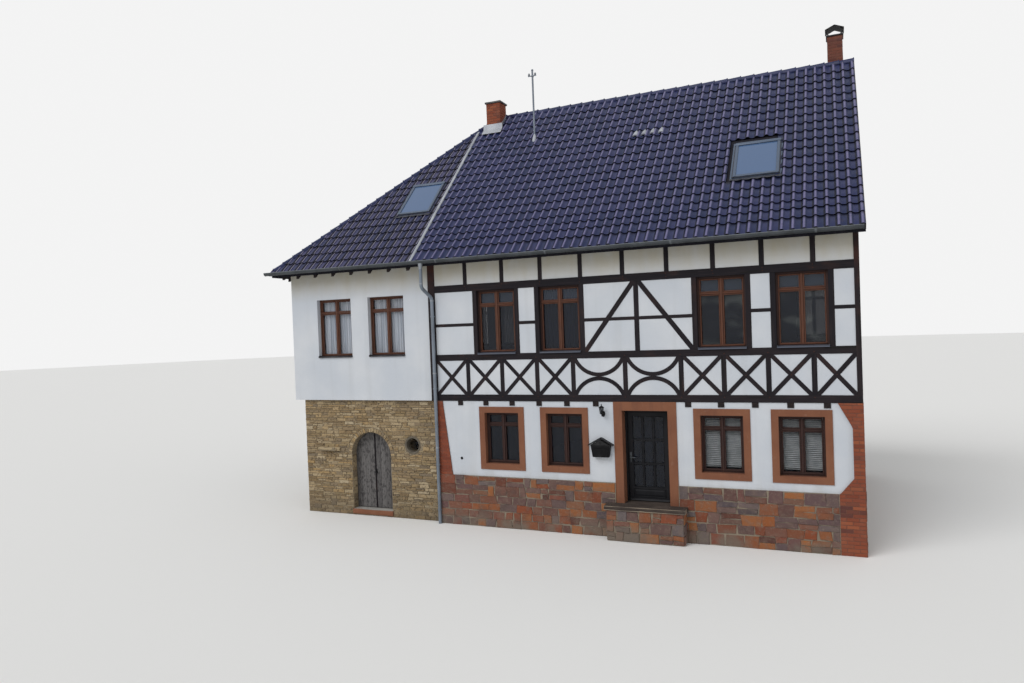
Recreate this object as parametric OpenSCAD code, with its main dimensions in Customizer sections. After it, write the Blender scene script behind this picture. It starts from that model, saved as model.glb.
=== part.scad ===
// Half timbered house with a plastered wing over a stone cellar, under one hipped roof.
// House axes: x runs right along the front from the left end of the timber house,
// y runs back from the face of the front timbers, z is up from the lowest ground.

/* [Plan] */
// Length of the timber framed house along the front
main_len = 10350; // [9800:10:11500]
// Depth of the house from front timbers to back timbers
depth = 9200; // [8400:10:10000]
// Length of the plastered wing to the left of the timber house
wing_len = 4550; // [4400:10:5200]
// How far the ground storey of the timber house starts in from its left end
pier_in = 150; // [100:5:200]
// Height of the ground at the right corner over the lowest ground
slope_rise = 680; // [500:10:800]

/* [Levels over the ground at the right corner] */
// Top of the door sill and ground floor
floor_rise = 145; // [100:5:250]
// Top of the rubble plinth
plinth_rise = 620; // [500:10:700]
// Underside of the sill beam that carries the timber storey
sill_rise = 2560; // [2500:10:2700]
// Height of the sill beam
sill_h = 165; // [140:5:180]
// Underside of the breast rail under the upper windows
breast_rise = 3610; // [3560:10:3700]
// Height of the breast rail
breast_h = 160; // [120:5:180]
// Underside of the head rail over the upper windows
head_rise = 5400; // [5300:10:5460]
// Height of the head rail
head_h = 180; // [150:5:200]
// Height of the tiles at the front eave
eave_rise = 6235; // [6200:5:6400]
// Height of the wall plate
plate_h = 130; // [100:5:150]

/* [Walls] */
// Thickness of the ground storey masonry of the timber house
ground_t = 420; // [380:10:460]
// Thickness of the timber framed walls
frame_wall_t = 200; // [180:5:220]
// Thickness of the cellar's stone walls
stone_t = 500; // [460:10:560]
// Thickness of the wing's plastered walls
wing_t = 300; // [250:10:340]
// How far the ground plaster lies behind the face of the timbers
plaster_in = 20; // [15:1:30]
// How far the rubble plinth stands proud of the timbers
plinth_out = 20; // [10:1:30]
// How far the wing's plaster lies behind the face of the timbers
wing_in = 40; // [30:1:60]
// How far the cellar's front wall lies behind the face of the timbers
stone_in = 130; // [100:1:160]
// How far the plastered wing hangs over the cellar's left wall
wing_over = 260; // [200:10:300]

/* [Timbers] */
// Depth of the timbers from the face of the wall
timber_d = 120; // [110:1:140]
// How far the plaster panels lie behind the face of the timbers
panel_in = 14; // [8:1:20]
// Width of the left corner post
corner_w = 205; // [150:5:215]
// Width of the right corner post
right_post_w = 105; // [95:5:150]
// Width of the posts beside the upper windows
post_w = 112; // [100:1:125]
// Width of the posts in the braced band
band_post_w = 108; // [90:1:120]
// Width of the studs under the eave
stud_w = 105; // [90:1:115]
// Width of the thin braces and arcs in the band
brace_w = 92; // [80:1:100]
// Width of the two long braces beside the middle post
long_brace_w = 110; // [100:1:120]
// Height of the short rails between the upper posts
short_rail_h = 76; // [70:1:90]
// Underside of the short rails over the ground at the right corner
short_rail_rise = 4497; // [4400:1:4600]
// How much higher the short rails right of the third upper window lie
short_right_up = 60; // [40:5:80]
// Middle of each post in the band as a share of the timber front
band_share = [0.1071, 0.2007, 0.2931, 0.3843, 0.5097, 0.6367, 0.7286, 0.8204, 0.9103];
// Middle of the first stud under the eave
stud_first = 1110; // [1050:5:1150]
// Middle of the last stud under the eave from the right end
stud_last = 896; // [860:2:930]

/* [Floor joists] */
// Middle of the first joist from the left end of the timber house
joist_first = 850; // [780:5:870]
// Middle of the last joist from the right end of the timber house
joist_last = 694; // [670:2:720]
// Number of floor joists
joist_count = 13; // [13:1:13]
// Width of a floor joist
joist_w = 140; // [120:1:150]
// Height of a floor joist
joist_h = 114; // [100:1:125]
// Thickness of the ground floor and of the cellar floor
slab_t = 180; // [150:10:220]

/* [Windows] */
// Middle of each ground window as a share of the timber front
ground_win_share = [0.1937, 0.3565, 0.7198, 0.8821];
// Width of a ground window opening
ground_win_w = 940; // [900:5:960]
// Height of a ground window opening
ground_win_h = 1305; // [1250:5:1340]
// Underside of a ground window opening over the ground at the right corner
ground_win_rise = 955; // [930:5:980]
// Width of the sandstone round a ground window
surround_w = 152; // [130:1:165]
// Depth of the sandstone round a ground window
surround_d = 180; // [150:5:200]
// Middle of each upper window as a share of the timber front
upper_win_share = [0.1884, 0.3541, 0.7266, 0.89];
// Width of an upper window opening
upper_win_w = 1060; // [1020:5:1090]
// Middle of each window in the wing as a share of the wing's length
wing_win_share = [0.677, 0.3002];
// Width of a window opening in the wing
wing_win_w = 1150; // [1100:5:1180]
// How far the upper window frames are set back from the timber face
upper_set = 95; // [90:1:110]
// How far the other window frames are set back in their reveals
deep_set = 130; // [120:1:150]
// Width of a window frame's members
sash_w = 62; // [50:1:70]
// Depth of a window frame
sash_d = 64; // [55:1:70]
// Share of a window's height that lies over its cross bar
light_share = 0.27; // [0.25:0.01:0.3]
// Thickness of the window panes
pane_t = 16; // [12:1:20]
// Height of the metal sills under the upper windows
sill_plate_h = 28; // [24:1:34]
// How far the metal sills stand out from the wall
sill_plate_out = 32; // [25:1:40]

/* [Front door] */
// Middle of the front door as a share of the timber front
door_share = 0.5505; // [0.546:0.0005:0.555]
// Width of the clear opening in the sandstone
door_w = 1085; // [1040:5:1110]
// Height of the clear opening in the sandstone
door_h = 2205; // [2160:5:2240]
// Width of the sandstone jambs
jamb_w = 205; // [190:5:215]
// How far the door frame is set back from the timber face
door_set = 270; // [240:5:280]
// Width of the door frame's members
door_frame_w = 44; // [40:1:50]
// Depth of the door frame
door_frame_d = 90; // [80:1:100]
// Thickness of the door leaf
leaf_t = 54; // [50:1:60]
// Gap round a door leaf
leaf_gap = 9; // [8:1:11]
// Half of the gap between the two cellar leaves
seam_gap = 5; // [5:0.5:7]
// Length of the stone step
step_len = 1900; // [1700:10:2000]
// How far the stone step stands out from the wall
step_out = 360; // [320:5:400]
// Thickness of the step's top slab
step_t = 95; // [80:1:110]

/* [Cellar door] */
// Middle of the cellar door from the left end of the timber house
arch_x = -2080; // [-2140:5:-2040]
// Half width of the arched opening
arch_r = 640; // [600:5:660]
// Height of the arch's springing over the lowest ground
arch_spring = 1695; // [1600:5:1750]
// Height of the cellar door's threshold over the lowest ground
cellar_floor_z = 175; // [150:5:250]
// Depth of the arched front part of the wall
arch_d = 200; // [180:5:220]
// How far the square recess behind the arch is wider and higher than it
recess = 100; // [90:1:110]
// How far a cellar leaf laps behind the arch
lap = 40; // [30:1:45]
// Thickness of a cellar leaf
cellar_leaf_t = 48; // [40:1:52]
// Middle of the round window from the left end of the timber house
eye_x = -725; // [-800:5:-700]
// Height of the round window over the lowest ground
eye_z = 2010; // [1950:5:2060]
// Radius of the round window's opening
eye_r = 190; // [170:5:200]
// Width of the stone ring round the round window
eye_ring = 55; // [45:1:60]

/* [Hinges] */
// Radius of a hinge pin
pin_r = 9; // [8:0.5:10]
// Running gap round a hinge pin
pin_gap = 0.3; // [0.2:0.05:0.4]
// Wall of a hinge knuckle round its pin
knuckle_wall = 8; // [7:0.5:9]
// Height of a hinge knuckle
knuckle_h = 90; // [70:5:100]

/* [Roof] */
// Slope of the roof planes in degrees
pitch = 44.5; // [44:0.1:45.6]
// Slope of the hip at the wing's end in degrees
hip_pitch = 43.5; // [42:0.1:45]
// How far the eaves stand out from the walls
eave_out = 350; // [320:5:380]
// How far the roof stands out over the right gable
verge_out = 130; // [100:5:150]
// Thickness of the tiled roof square to its slope
roof_t = 100; // [80:5:140]
// Width of the rafter tails
tail_w = 90; // [80:1:100]
// Height of the rafter tails
tail_h = 110; // [100:1:120]
// Distance between the rafter tails of the wing
tail_step = 602; // [580:1:610]
// Radius of the half round gutters
gutter_r = 80; // [70:1:85]
// Wall of the gutters and the downpipe
gutter_t = 5; // [4:0.5:6]
// Radius of the ridge and hip tiles
cap_r = 100; // [90:1:120]
// Distance of the metal seam from the left end of the timber house
seam_x = -275; // [-330:5:-250]
// Width of the metal seam
seam_w = 110; // [90:5:130]
// Height of the metal seam over the tiles
seam_h = 45; // [35:1:55]

/* [Skylights] */
// Middle of the skylight over the timber house
sky_x = 8240; // [8150:5:8300]
// Middle of the skylight over the wing
wing_sky_x = -1035; // [-1150:5:-1000]
// Distance of a skylight's middle from the front timbers in plan
sky_y = 1680; // [1600:5:1800]
// Width of a skylight
sky_w = 1080; // [1000:5:1140]
// Length of a skylight along the slope
sky_l = 1440; // [1350:5:1500]
// Width of a skylight's frame
sky_frame_w = 75; // [65:1:90]
// Height of a skylight's frame over the tiles
sky_up = 60; // [50:1:70]

/* [Chimneys] */
// Side of the left chimney's stack
left_stack_w = 460; // [420:5:480]
// Left face of the left chimney from the left end of the timber house
left_stack_x = 20; // [-20:5:60]
// Front face of the left chimney in front of the ridge
left_stack_front = 540; // [520:5:600]
// Height of the left chimney's brickwork over the ridge
left_stack_rise = 342; // [300:2:400]
// Side of the right chimney's stack
right_stack_w = 370; // [350:5:390]
// Gap between the right chimney and the timbers of the gable
right_stack_gap = 5; // [2:1:20]
// Front face of the right chimney behind the ridge
right_stack_back = 180; // [170:5:220]
// Height of the right chimney's brickwork over the ridge
right_stack_rise = 801; // [750:1:850]
// Flue opening of the chimneys
flue_w = 200; // [180:5:220]

/* [Fittings] */
// Distance of the downpipe's middle from the left end of the timber house
pipe_x = 155; // [130:1:180]
// Distance of the gutter's outlet from the left end of the timber house
outlet_x = 60; // [40:1:80]
// Radius of the downpipe
pipe_r = 45; // [40:1:50]
// Distance of the mast from the left end of the timber house
mast_x = 1850; // [1750:5:1950]
// Distance of the mast in front of the ridge in plan
mast_front = 1160; // [1100:5:1250]
// Height of the mast's top over the ridge
mast_rise = 931; // [880:1:980]
// Radius of the mast
mast_r = 24; // [20:1:28]
// Length of the mast's cross arm
mast_arm = 260; // [240:5:300]
// Radius of the insulators on the cross arm
insulator_r = 34; // [30:1:38]
// Middle of the roof step from the left end of the timber house
roof_step_x = 5385; // [5300:5:5450]
// Distance of the roof step from the front timbers in plan
roof_step_y = 3000; // [2950:5:3100]
// Length of the roof step
roof_step_len = 950; // [900:5:980]
// Distance of the lamp's middle from the door's sandstone
lamp_off = 250; // [240:1:260]
// Height of the lamp's base over the ground at the right corner
lamp_rise = 2190; // [2150:5:2230]
// Gap between the letter box's roof and the sandstone beside it
box_gap = 22; // [16:1:30]
// Height of the letter box's underside over the ground at the right corner
box_rise = 1240; // [1200:5:1280]

/* [Hidden] */
$fn = 48;
eps = 1;

// Heights over the lowest ground
floor_z = slope_rise + floor_rise;
plinth_z = slope_rise + plinth_rise;
sill_z = slope_rise + sill_rise;
sill_top = sill_z + sill_h;
breast_z = slope_rise + breast_rise;
breast_top = breast_z + breast_h;
head_z = slope_rise + head_rise;
head_top = head_z + head_h;
short_z = slope_rise + short_rail_rise;
eave_z = slope_rise + eave_rise;
joist_z = sill_z - joist_h;
ground_win_z = slope_rise + ground_win_rise;
door_top = floor_z + door_h;
upper_win_h = head_z - breast_top;

// Roof planes: the tiles' top over the front timbers, and the vertical thickness
roof_v = roof_t / cos(pitch);
hip_v = roof_t / cos(hip_pitch);
ridge_y = depth / 2;
ridge_z = eave_z + (ridge_y + eave_out) * tan(pitch);
// Play between the roof's underside and the pieces that carry it
seat = 0.1;
plate_top = eave_z + eave_out * tan(pitch) - roof_v - seat;
plate_z = plate_top - plate_h;
hip_run = (ridge_z - eave_z) / tan(hip_pitch);
roof_left = -wing_len - eave_out;
roof_right = main_len + verge_out;
apex_x = roof_left + hip_run;

// The whole object's middle in plan, where the origin stands
gutter_out = eave_out + 2 * gutter_r;
mid_x = (roof_right - wing_len - gutter_out) / 2;
mid_y = depth / 2;

joist_step = (main_len - joist_first - joist_last) / (joist_count - 1);
stud_step = (main_len - stud_first - stud_last) / 8;
ground_win_x = [for (s = ground_win_share) s * main_len];
upper_win_x = [for (s = upper_win_share) s * main_len];
wing_win_x = [for (s = wing_win_share) -s * wing_len];
door_x = door_share * main_len;
left_stack_y = ridge_y - left_stack_front;
right_stack_in = timber_d + right_stack_gap;
right_stack_y = ridge_y + right_stack_back;
mast_y = ridge_y - mast_front;

back_in = depth - frame_wall_t;
stone_left = -wing_len + wing_over;
stone_back = depth - stone_in;
band_x = [for (s = band_share) s * main_len];
stud_x = [for (i = [0:8]) stud_first + i * stud_step];
right_post_x = main_len - right_post_w;
middle_post_x = (upper_win_x[1] + upper_win_x[2]) / 2;
gable_win_y = [depth * 0.3, depth * 0.7];
door_left = door_x - door_w / 2;
door_right = door_x + door_w / 2;
lamp_x = door_left - jamb_w - lamp_off;
box_left = ground_win_x[1] + ground_win_w / 2 + surround_w + box_gap;
box_x = (box_left + door_left - jamb_w - box_gap) / 2;
knuckle_r = pin_r + pin_gap + knuckle_wall;

// Hinge axes of the three leaves
door_axis_x = door_right - door_frame_w;
door_axis_y = door_set + door_frame_d + knuckle_r + 2;
cellar_face = stone_in + arch_d + leaf_gap;
cellar_axis_y = cellar_face + cellar_leaf_t + knuckle_r + 2;
cellar_axis_dx = arch_r + lap + 8;

module place() translate([-mid_x, -mid_y, 0]) children();

// A block from one corner to the opposite one
module block(lo, hi) translate(lo) cube([hi[0] - lo[0], hi[1] - lo[1], hi[2] - lo[2]]);

// A flat outline in x and z, thick along y from y0 to y1
module upright(y0, y1) translate([0, y1, 0]) rotate([90, 0, 0]) linear_extrude(y1 - y0) children();

// A flat outline in y and z, thick along x from x0 to x1
module sideways(x0, x1) translate([x0, 0, 0]) rotate([90, 0, 90]) linear_extrude(x1 - x0) children();

module area(x0, z0, x1, z1) translate([x0, z0]) square([x1 - x0, z1 - z0]);

// A straight bar between two points of an outline
module bar(a, b, w) {
    run = b - a;
    translate(a) rotate(atan2(run[1], run[0])) translate([-w, -w / 2]) square([norm(run) + 2 * w, w]);
}

module crossed(x0, x1, z0, z1) intersection() {
    area(x0, z0, x1, z1);
    union() {
        bar([x0, z0], [x1, z1], brace_w);
        bar([x0, z1], [x1, z0], brace_w);
    }
}

// Two arcs that meet at half height, one hanging and one standing
module arched(x0, x1, z0, z1) {
    half = (x1 - x0) / 2;
    rise = (z1 - z0) / 2 - brace_w / 2;
    r = (half * half + rise * rise) / (2 * rise);
    intersection() {
        area(x0, z0, x1, z1);
        for (side = [-1, 1])
            translate([x0 + half, (z0 + z1) / 2 + side * (r + brace_w / 2)]) difference() {
                circle(r + brace_w / 2, $fn = 96);
                circle(r - brace_w / 2, $fn = 96);
            }
    }
}

// Posts and rails of the front, drawn in x and z
module front_timbers() {
    area(0, sill_z, main_len, sill_top);
    area(0, breast_z, main_len, breast_top);
    area(0, head_z, main_len, head_top);
    area(0, plate_z, main_len, plate_top);
    area(0, sill_z, corner_w, plate_top);
    area(right_post_x, sill_z, main_len, plate_top);
    for (x = band_x) area(x - band_post_w / 2, sill_top, x + band_post_w / 2, breast_z);
    for (x = stud_x) area(x - stud_w / 2, head_top, x + stud_w / 2, plate_z);
    window_posts();
    area(middle_post_x - post_w / 2, breast_top, middle_post_x + post_w / 2, head_z);
    band_braces();
    middle_braces();
    short_rails([corner_w, right_post_x]);
}

module window_posts() for (x = upper_win_x, side = [-1, 1]) {
    mid = x + side * (upper_win_w + post_w) / 2;
    area(mid - post_w / 2, breast_top, mid + post_w / 2, head_z);
}

module short_rails(ends) {
    half = upper_win_w / 2 + post_w;
    area(ends[0], short_z, upper_win_x[0] - half, short_z + short_rail_h);
    area(upper_win_x[0] + half, short_z, upper_win_x[1] - half, short_z + short_rail_h);
    area(upper_win_x[1] + half, short_z, upper_win_x[2] - half, short_z + short_rail_h);
    translate([0, short_right_up]) {
        area(upper_win_x[2] + half, short_z, upper_win_x[3] - half, short_z + short_rail_h);
        area(upper_win_x[3] + half, short_z, ends[1], short_z + short_rail_h);
    }
}

module band_braces() {
    edges = concat([corner_w - band_post_w / 2], band_x, [right_post_x + band_post_w / 2]);
    for (i = [0:9]) {
        x0 = edges[i] + band_post_w / 2;
        x1 = edges[i + 1] - band_post_w / 2;
        if (i == 4 || i == 5) arched(x0, x1, sill_top, breast_z);
        else crossed(x0, x1, sill_top, breast_z);
    }
}

module middle_braces() intersection() {
    area(upper_win_x[1] + upper_win_w / 2, breast_top, upper_win_x[2] - upper_win_w / 2, head_z);
    for (side = [-1, 1]) {
        foot = side < 0 ? upper_win_x[1] + upper_win_w / 2 + post_w : upper_win_x[2] - upper_win_w / 2 - post_w;
        bar([foot, breast_top], [middle_post_x + side * post_w / 2, head_z], long_brace_w);
    }
}

module upper_windows() for (x = upper_win_x)
    area(x - upper_win_w / 2, breast_top, x + upper_win_w / 2, head_z);

module front_frame() color("#2e2420") place() upright(0, timber_d) front_timbers();

// Wall of plastered panels, grooved for the timbers that are let into its face
module front_infill() color("#eceae4") place() difference() {
    upright(panel_in, frame_wall_t) difference() {
        area(panel_in, sill_z, main_len - panel_in, plate_top);
        upper_windows();
    }
    upright(-eps, timber_d) front_timbers();
    sideways(main_len - timber_d, main_len + eps) gable_timbers();
}

// Plain posts and rails of the back, with the same storeys
module back_timbers() {
    area(0, sill_z, main_len, sill_top);
    area(0, breast_z, main_len, breast_top);
    area(0, head_z, main_len, head_top);
    area(0, plate_z, main_len, plate_top);
    area(0, sill_z, corner_w, plate_top);
    area(right_post_x, sill_z, main_len, plate_top);
    for (x = band_x) area(x - band_post_w / 2, sill_top, x + band_post_w / 2, breast_z);
    for (x = stud_x) area(x - stud_w / 2, head_top, x + stud_w / 2, plate_z);
    window_posts();
    short_rails([corner_w, right_post_x]);
}

module back_frame() color("#2e2420") place() upright(depth - timber_d, depth) back_timbers();

module back_infill() color("#eceae4") place() difference() {
    upright(back_in, depth - panel_in) difference() {
        area(panel_in, sill_z, main_len - panel_in, plate_top);
        upper_windows();
    }
    upright(depth - timber_d, depth + eps) back_timbers();
    sideways(main_len - timber_d, main_len + eps) gable_timbers();
}

// Outline of the gable over the ground storey, under the roof or a little past it
module gable_outline(y0, y1, up = 0) polygon([
    [y0, sill_z], [y1, sill_z], [y1, roof_under(y1) + up],
    [ridge_y, roof_under(ridge_y) + up], [y0, roof_under(y0) + up]]);

function roof_under(y) = ridge_z - roof_v - seat - abs(y - ridge_y) * tan(pitch);

module gable_windows() for (y = gable_win_y)
    area(y - upper_win_w / 2, breast_top, y + upper_win_w / 2, head_z);

module gable_timbers(up = 0) intersection() {
    gable_outline(timber_d, depth - timber_d, up);
    union() {
        area(0, sill_z, depth, sill_top);
        area(0, breast_z, depth, breast_top);
        area(0, head_z, depth, head_top);
        area(0, collar_z, depth, collar_z + breast_h);
        for (y = concat([for (w = gable_win_y, s = [-1, 1]) w + s * (upper_win_w + post_w) / 2], [ridge_y]))
            area(y - post_w / 2, sill_z, y + post_w / 2, head_z);
        for (y = [ridge_y - 2 * stud_step, ridge_y, ridge_y + 2 * stud_step])
            area(y - post_w / 2, head_top, y + post_w / 2, ridge_z);
        for (side = [-1, 1]) {
            bar([ridge_y + side * (ridge_y - timber_d), breast_top],
                [gable_win_y[side < 0 ? 0 : 1] + side * upper_win_w / 2, head_z], long_brace_w);
            bar([ridge_y, roof_under(ridge_y) - roof_v / 2],
                [ridge_y + side * ridge_y, roof_under(0) - roof_v / 2], 2 * post_w);
        }
    }
}
collar_rise = 2200;
collar_z = head_top + collar_rise;

module gable_frame() color("#2e2420") place() sideways(main_len - timber_d, main_len) difference() {
    gable_timbers();
    gable_windows();
}

module gable_infill() color("#eceae4") place() difference() {
    sideways(main_len - frame_wall_t, main_len - panel_in) difference() {
        gable_outline(frame_wall_t, back_in);
        gable_windows();
    }
    sideways(main_len - timber_d, main_len + eps) difference() {
        gable_timbers(post_w / 2);
        gable_windows();
    }
    right_stack_block(0);
}

module ground_windows(grow) for (x = ground_win_x)
    area(x - ground_win_w / 2 - grow, ground_win_z - grow, x + ground_win_w / 2 + grow, ground_win_z + ground_win_h + grow);

module joists(y0, y1) for (i = [0:joist_count - 1]) {
    x = joist_first + i * joist_step;
    over_door = x > door_left - jamb_w && x < door_right + jamb_w;
    block([x - joist_w / 2, over_door ? y0 + plaster_in + door_set : y0, joist_z], [x + joist_w / 2, y1, sill_z]);
}

// Joist ends show a little under the front sill beam
joist_front = 4;
module floor_joists() color("#3a2c24") place() joists(joist_front, depth - joist_front);

module plinth() color("#a9806a") place() {
    block([pier_in, -plinth_out, 0], [door_left - jamb_w, ground_t, plinth_z]);
    difference() {
        block([door_right + jamb_w, -plinth_out, 0], [main_len, ground_t, plinth_z]);
        upright(-2 * plinth_out, brick_d) brick_outline();
    }
}

module ground_front(x0, x1) difference() {
    block([x0, plaster_in, plinth_z], [x1, ground_t, sill_z]);
    upright(0, ground_t + eps) ground_windows(0);
    upright(0, surround_d) ground_windows(surround_w);
    joists(0, depth);
}

module ground_wall_left() color("#f0eee8") place() difference() {
    ground_front(pier_in, door_left - jamb_w);
    upright(0, brick_d) pier_outline();
}

module ground_wall_right() color("#f0eee8") place() difference() {
    ground_front(door_right + jamb_w, main_len);
    upright(0, brick_d) brick_outline();
}

// Depth of the bare brickwork at the corners
brick_d = 250;
quoin_w = 505;
quoin_neck = 215;
module brick_outline() polygon([
    [main_len - quoin_w, -eps], [main_len + eps, -eps], [main_len + eps, sill_z], [main_len - quoin_w + 15, sill_z],
    [main_len - quoin_neck, sill_z - 520], [main_len - quoin_neck, plinth_z + 340],
    [main_len - quoin_w + 40, plinth_z + 30], [main_len - quoin_w, plinth_z]]);

module brick_corner_right() color("#a8492f") place() intersection() {
    upright(-plinth_out, brick_d) brick_outline();
    block([main_len - quoin_w - eps, -plinth_out, 0], [main_len, brick_d, sill_z]);
}

// Red pier at the left end, wider at its foot
pier_top_w = 170;
pier_foot_w = 400;
module pier_outline() polygon([
    [pier_in, plinth_z], [pier_in + pier_foot_w, plinth_z], [pier_in + pier_top_w, sill_z], [pier_in, sill_z]]);

module brick_pier_left() color("#a04a34") place() upright(-5, brick_d) pier_outline();

module window_surrounds() color("#a3583a") place() {
    upright(0, surround_d) surround_rings();
    upright(depth - surround_d, depth) surround_rings();
    sideways(main_len - surround_d, main_len) difference() {
        gable_ground_windows(surround_w);
        gable_ground_windows(0);
    }
}

module gable_ground_windows(grow) for (y = gable_win_y)
    area(y - ground_win_w / 2 - grow, ground_win_z - grow, y + ground_win_w / 2 + grow, ground_win_z + ground_win_h + grow);

module surround_rings() difference() {
    ground_windows(surround_w);
    ground_windows(0);
}

module door_jambs() color("#a3583a") place() {
    block([door_left - jamb_w, 0, 0], [door_left, ground_t, door_top]);
    block([door_right, 0, 0], [door_right + jamb_w, ground_t, door_top]);
}

module door_lintel() color("#a3583a") place() difference() {
    block([door_left - jamb_w, 0, door_top], [door_right + jamb_w, ground_t, sill_z]);
    joists(0, depth);
}

module door_sill() color("#5a524c") place()
    block([door_left, 0, 0], [door_right, ground_t, floor_z]);

// Rubble under the step's slab, a little narrower than the slab
step_in = 50;
module door_step() color("#5a524c") place() {
    half = step_len / 2;
    block([door_x - half, -plinth_out - step_out, floor_z - step_t], [door_x + half, -plinth_out, floor_z]);
    block([door_x - half + step_in, -plinth_out - step_out + step_in, 0], [door_x + half - step_in, -plinth_out, floor_z - step_t]);
}

module ground_gable_wall() color("#f0eee8") place() {
    block([main_len - ground_t, ground_t, 0], [main_len + plinth_out - plaster_in, depth - ground_t, plinth_z]);
    difference() {
        block([main_len - ground_t, ground_t, plinth_z], [main_len - plaster_in, depth - ground_t, sill_z]);
        sideways(main_len - ground_t - eps, main_len) gable_ground_windows(0);
        sideways(main_len - surround_d, main_len) gable_ground_windows(surround_w);
    }
}

module ground_back_wall() color("#f0eee8") place() difference() {
    union() {
        block([pier_in, depth - ground_t, 0], [main_len, depth - plaster_in + plinth_out, plinth_z]);
        block([pier_in, depth - ground_t, plinth_z], [main_len, depth - plaster_in, sill_z]);
    }
    upright(depth - ground_t - eps, depth) ground_windows(0);
    upright(depth - surround_d, depth + plinth_out) ground_windows(surround_w);
    joists(0, depth);
}

module ground_cross_wall() color("#e6e2d8") place()
    block([pier_in, ground_t, 0], [pier_in + ground_t, depth - ground_t, sill_z]);

module ground_floor() color("#8d8478") place()
    block([pier_in + ground_t, ground_t, floor_z - slab_t], [main_len - ground_t, depth - ground_t, floor_z]);

module cellar_floor() color("#8d8478") place() {
    block([stone_left + stone_t, stone_in + stone_t, 0], [pier_in, stone_back - stone_t, cellar_floor_z]);
    block([arch_x - arch_r, stone_in, 0], [arch_x + arch_r, stone_in + stone_t, cellar_floor_z]);
}

// Upper floor of boards on the joists, over the cellar too
module upper_floor() color("#6d5238") place() {
    block([-wing_len + wing_t, wing_in + wing_t, sill_z], [0, depth - wing_in - wing_t, sill_top]);
    block([0, frame_wall_t, sill_z], [main_len - frame_wall_t, back_in, sill_top]);
}

module attic_floor() color("#6d5238") place() {
    block([-wing_len + wing_t, wing_in + wing_t, head_z], [0, depth - wing_in - wing_t, head_top]);
    block([0, frame_wall_t, head_z], [main_len - frame_wall_t, back_in, head_top]);
}

module arch_recess() {
    block([arch_x - arch_r - recess, stone_in + arch_d, cellar_floor_z],
          [arch_x + arch_r + recess, stone_in + stone_t + eps, arch_spring + arch_r + recess]);
}

module arch_hole() {
    block([arch_x - arch_r, 0, cellar_floor_z], [arch_x + arch_r, stone_in + stone_t + eps, arch_spring]);
    translate([arch_x, stone_in + stone_t, arch_spring]) rotate([90, 0, 0]) cylinder(r = arch_r, h = stone_t + eps);
}

module stone_front(x0, x1) difference() {
    block([x0, stone_in, 0], [x1, stone_in + stone_t, sill_z]);
    arch_hole();
    arch_recess();
}

// A long stone that stands out of the wall as a ledge
ledge_x = -3795;
ledge_z = 1795;
ledge_len = 560;
ledge_h = 90;
ledge_out = 110;
module stone_wall_left() color("#b7a27c") place() {
    stone_front(stone_left, arch_x - arch_r);
    block([ledge_x, stone_in - ledge_out, ledge_z], [ledge_x + ledge_len, stone_in + eps, ledge_z + ledge_h]);
}

module stone_wall_right() color("#b7a27c") place() difference() {
    stone_front(arch_x + arch_r, pier_in);
    translate([eye_x, stone_in + stone_t + eps, eye_z]) rotate([90, 0, 0]) cylinder(r = eye_r, h = stone_t + 2 * eps);
    translate([eye_x, stone_in + surround_d, eye_z]) rotate([90, 0, 0]) cylinder(r = eye_r + eye_ring, h = surround_d + eps);
}

module stone_wall_over_arch() color("#b7a27c") place() difference() {
    block([arch_x - arch_r, stone_in, arch_spring], [arch_x + arch_r, stone_in + stone_t, sill_z]);
    arch_hole();
    arch_recess();
}

module stone_side_wall() color("#b7a27c") place()
    block([stone_left, stone_in + stone_t, 0], [stone_left + stone_t, stone_back - stone_t, sill_z]);

module stone_back_wall() color("#b7a27c") place()
    block([stone_left, stone_back - stone_t, 0], [pier_in, stone_back, sill_z]);

module wing_windows() for (x = wing_win_x)
    area(x - wing_win_w / 2, breast_top, x + wing_win_w / 2, head_z);

// The wing's walls reach up to the underside of the roof at their outer faces
wing_top = plate_top + wing_in * tan(pitch);
side_top = eave_z + eave_out * tan(hip_pitch) - hip_v;

module wing_long_wall(y0) intersection() {
    upright(y0, y0 + wing_t) difference() {
        area(-wing_len, sill_z, 0, wing_top);
        wing_windows();
    }
    roof_inside();
}

module wing_front_wall() color("#f0eee8") place() wing_long_wall(wing_in);

module wing_back_wall() color("#f0eee8") place() wing_long_wall(depth - wing_in - wing_t);

module wing_side_wall() color("#f0eee8") place()
    sideways(-wing_len, -wing_len + wing_t) difference() {
        area(wing_in + wing_t, sill_z, depth - wing_in - wing_t, side_top);
        for (y = gable_win_y) area(y - wing_win_w / 2, breast_top, y + wing_win_w / 2, head_z);
    }

// How far the cutting shapes of the roof run past it, down to the ground
past = eave_z;

// The solid under the top of the tiles
module roof_body() intersection() {
    sideways(roof_left - eps, roof_right) polygon([
        [-eave_out, eave_z - past], [depth + eave_out, eave_z - past],
        [depth + eave_out, eave_z], [ridge_y, ridge_z], [-eave_out, eave_z]]);
    upright(-eave_out - eps, depth + eave_out + eps) polygon([
        [roof_left, eave_z - past], [roof_right + eps, eave_z - past], [roof_right + eps, ridge_z + past],
        [roof_left + (ridge_z + past - eave_z) / tan(hip_pitch), ridge_z + past], [roof_left, eave_z]]);
}

module roof_shell() difference() {
    roof_body();
    roof_inside();
}

module roof_inside() intersection() {
    sideways(roof_left - 10, roof_right + 10) polygon([
        [-eave_out - 10, eave_z - past], [depth + eave_out + 10, eave_z - past],
        [depth + eave_out + 10, roof_under(depth + eave_out + 10) + seat], [ridge_y, ridge_z - roof_v],
        [-eave_out - 10, roof_under(-eave_out - 10) + seat]]);
    upright(-eave_out - 10, depth + eave_out + 10) polygon([
        [roof_left - 10, eave_z - past], [roof_right + 20, eave_z - past], [roof_right + 20, ridge_z + past],
        [hip_x(ridge_z + past), ridge_z + past], [roof_left - 10, eave_z - hip_v - 10 * tan(hip_pitch)]]);
}

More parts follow.
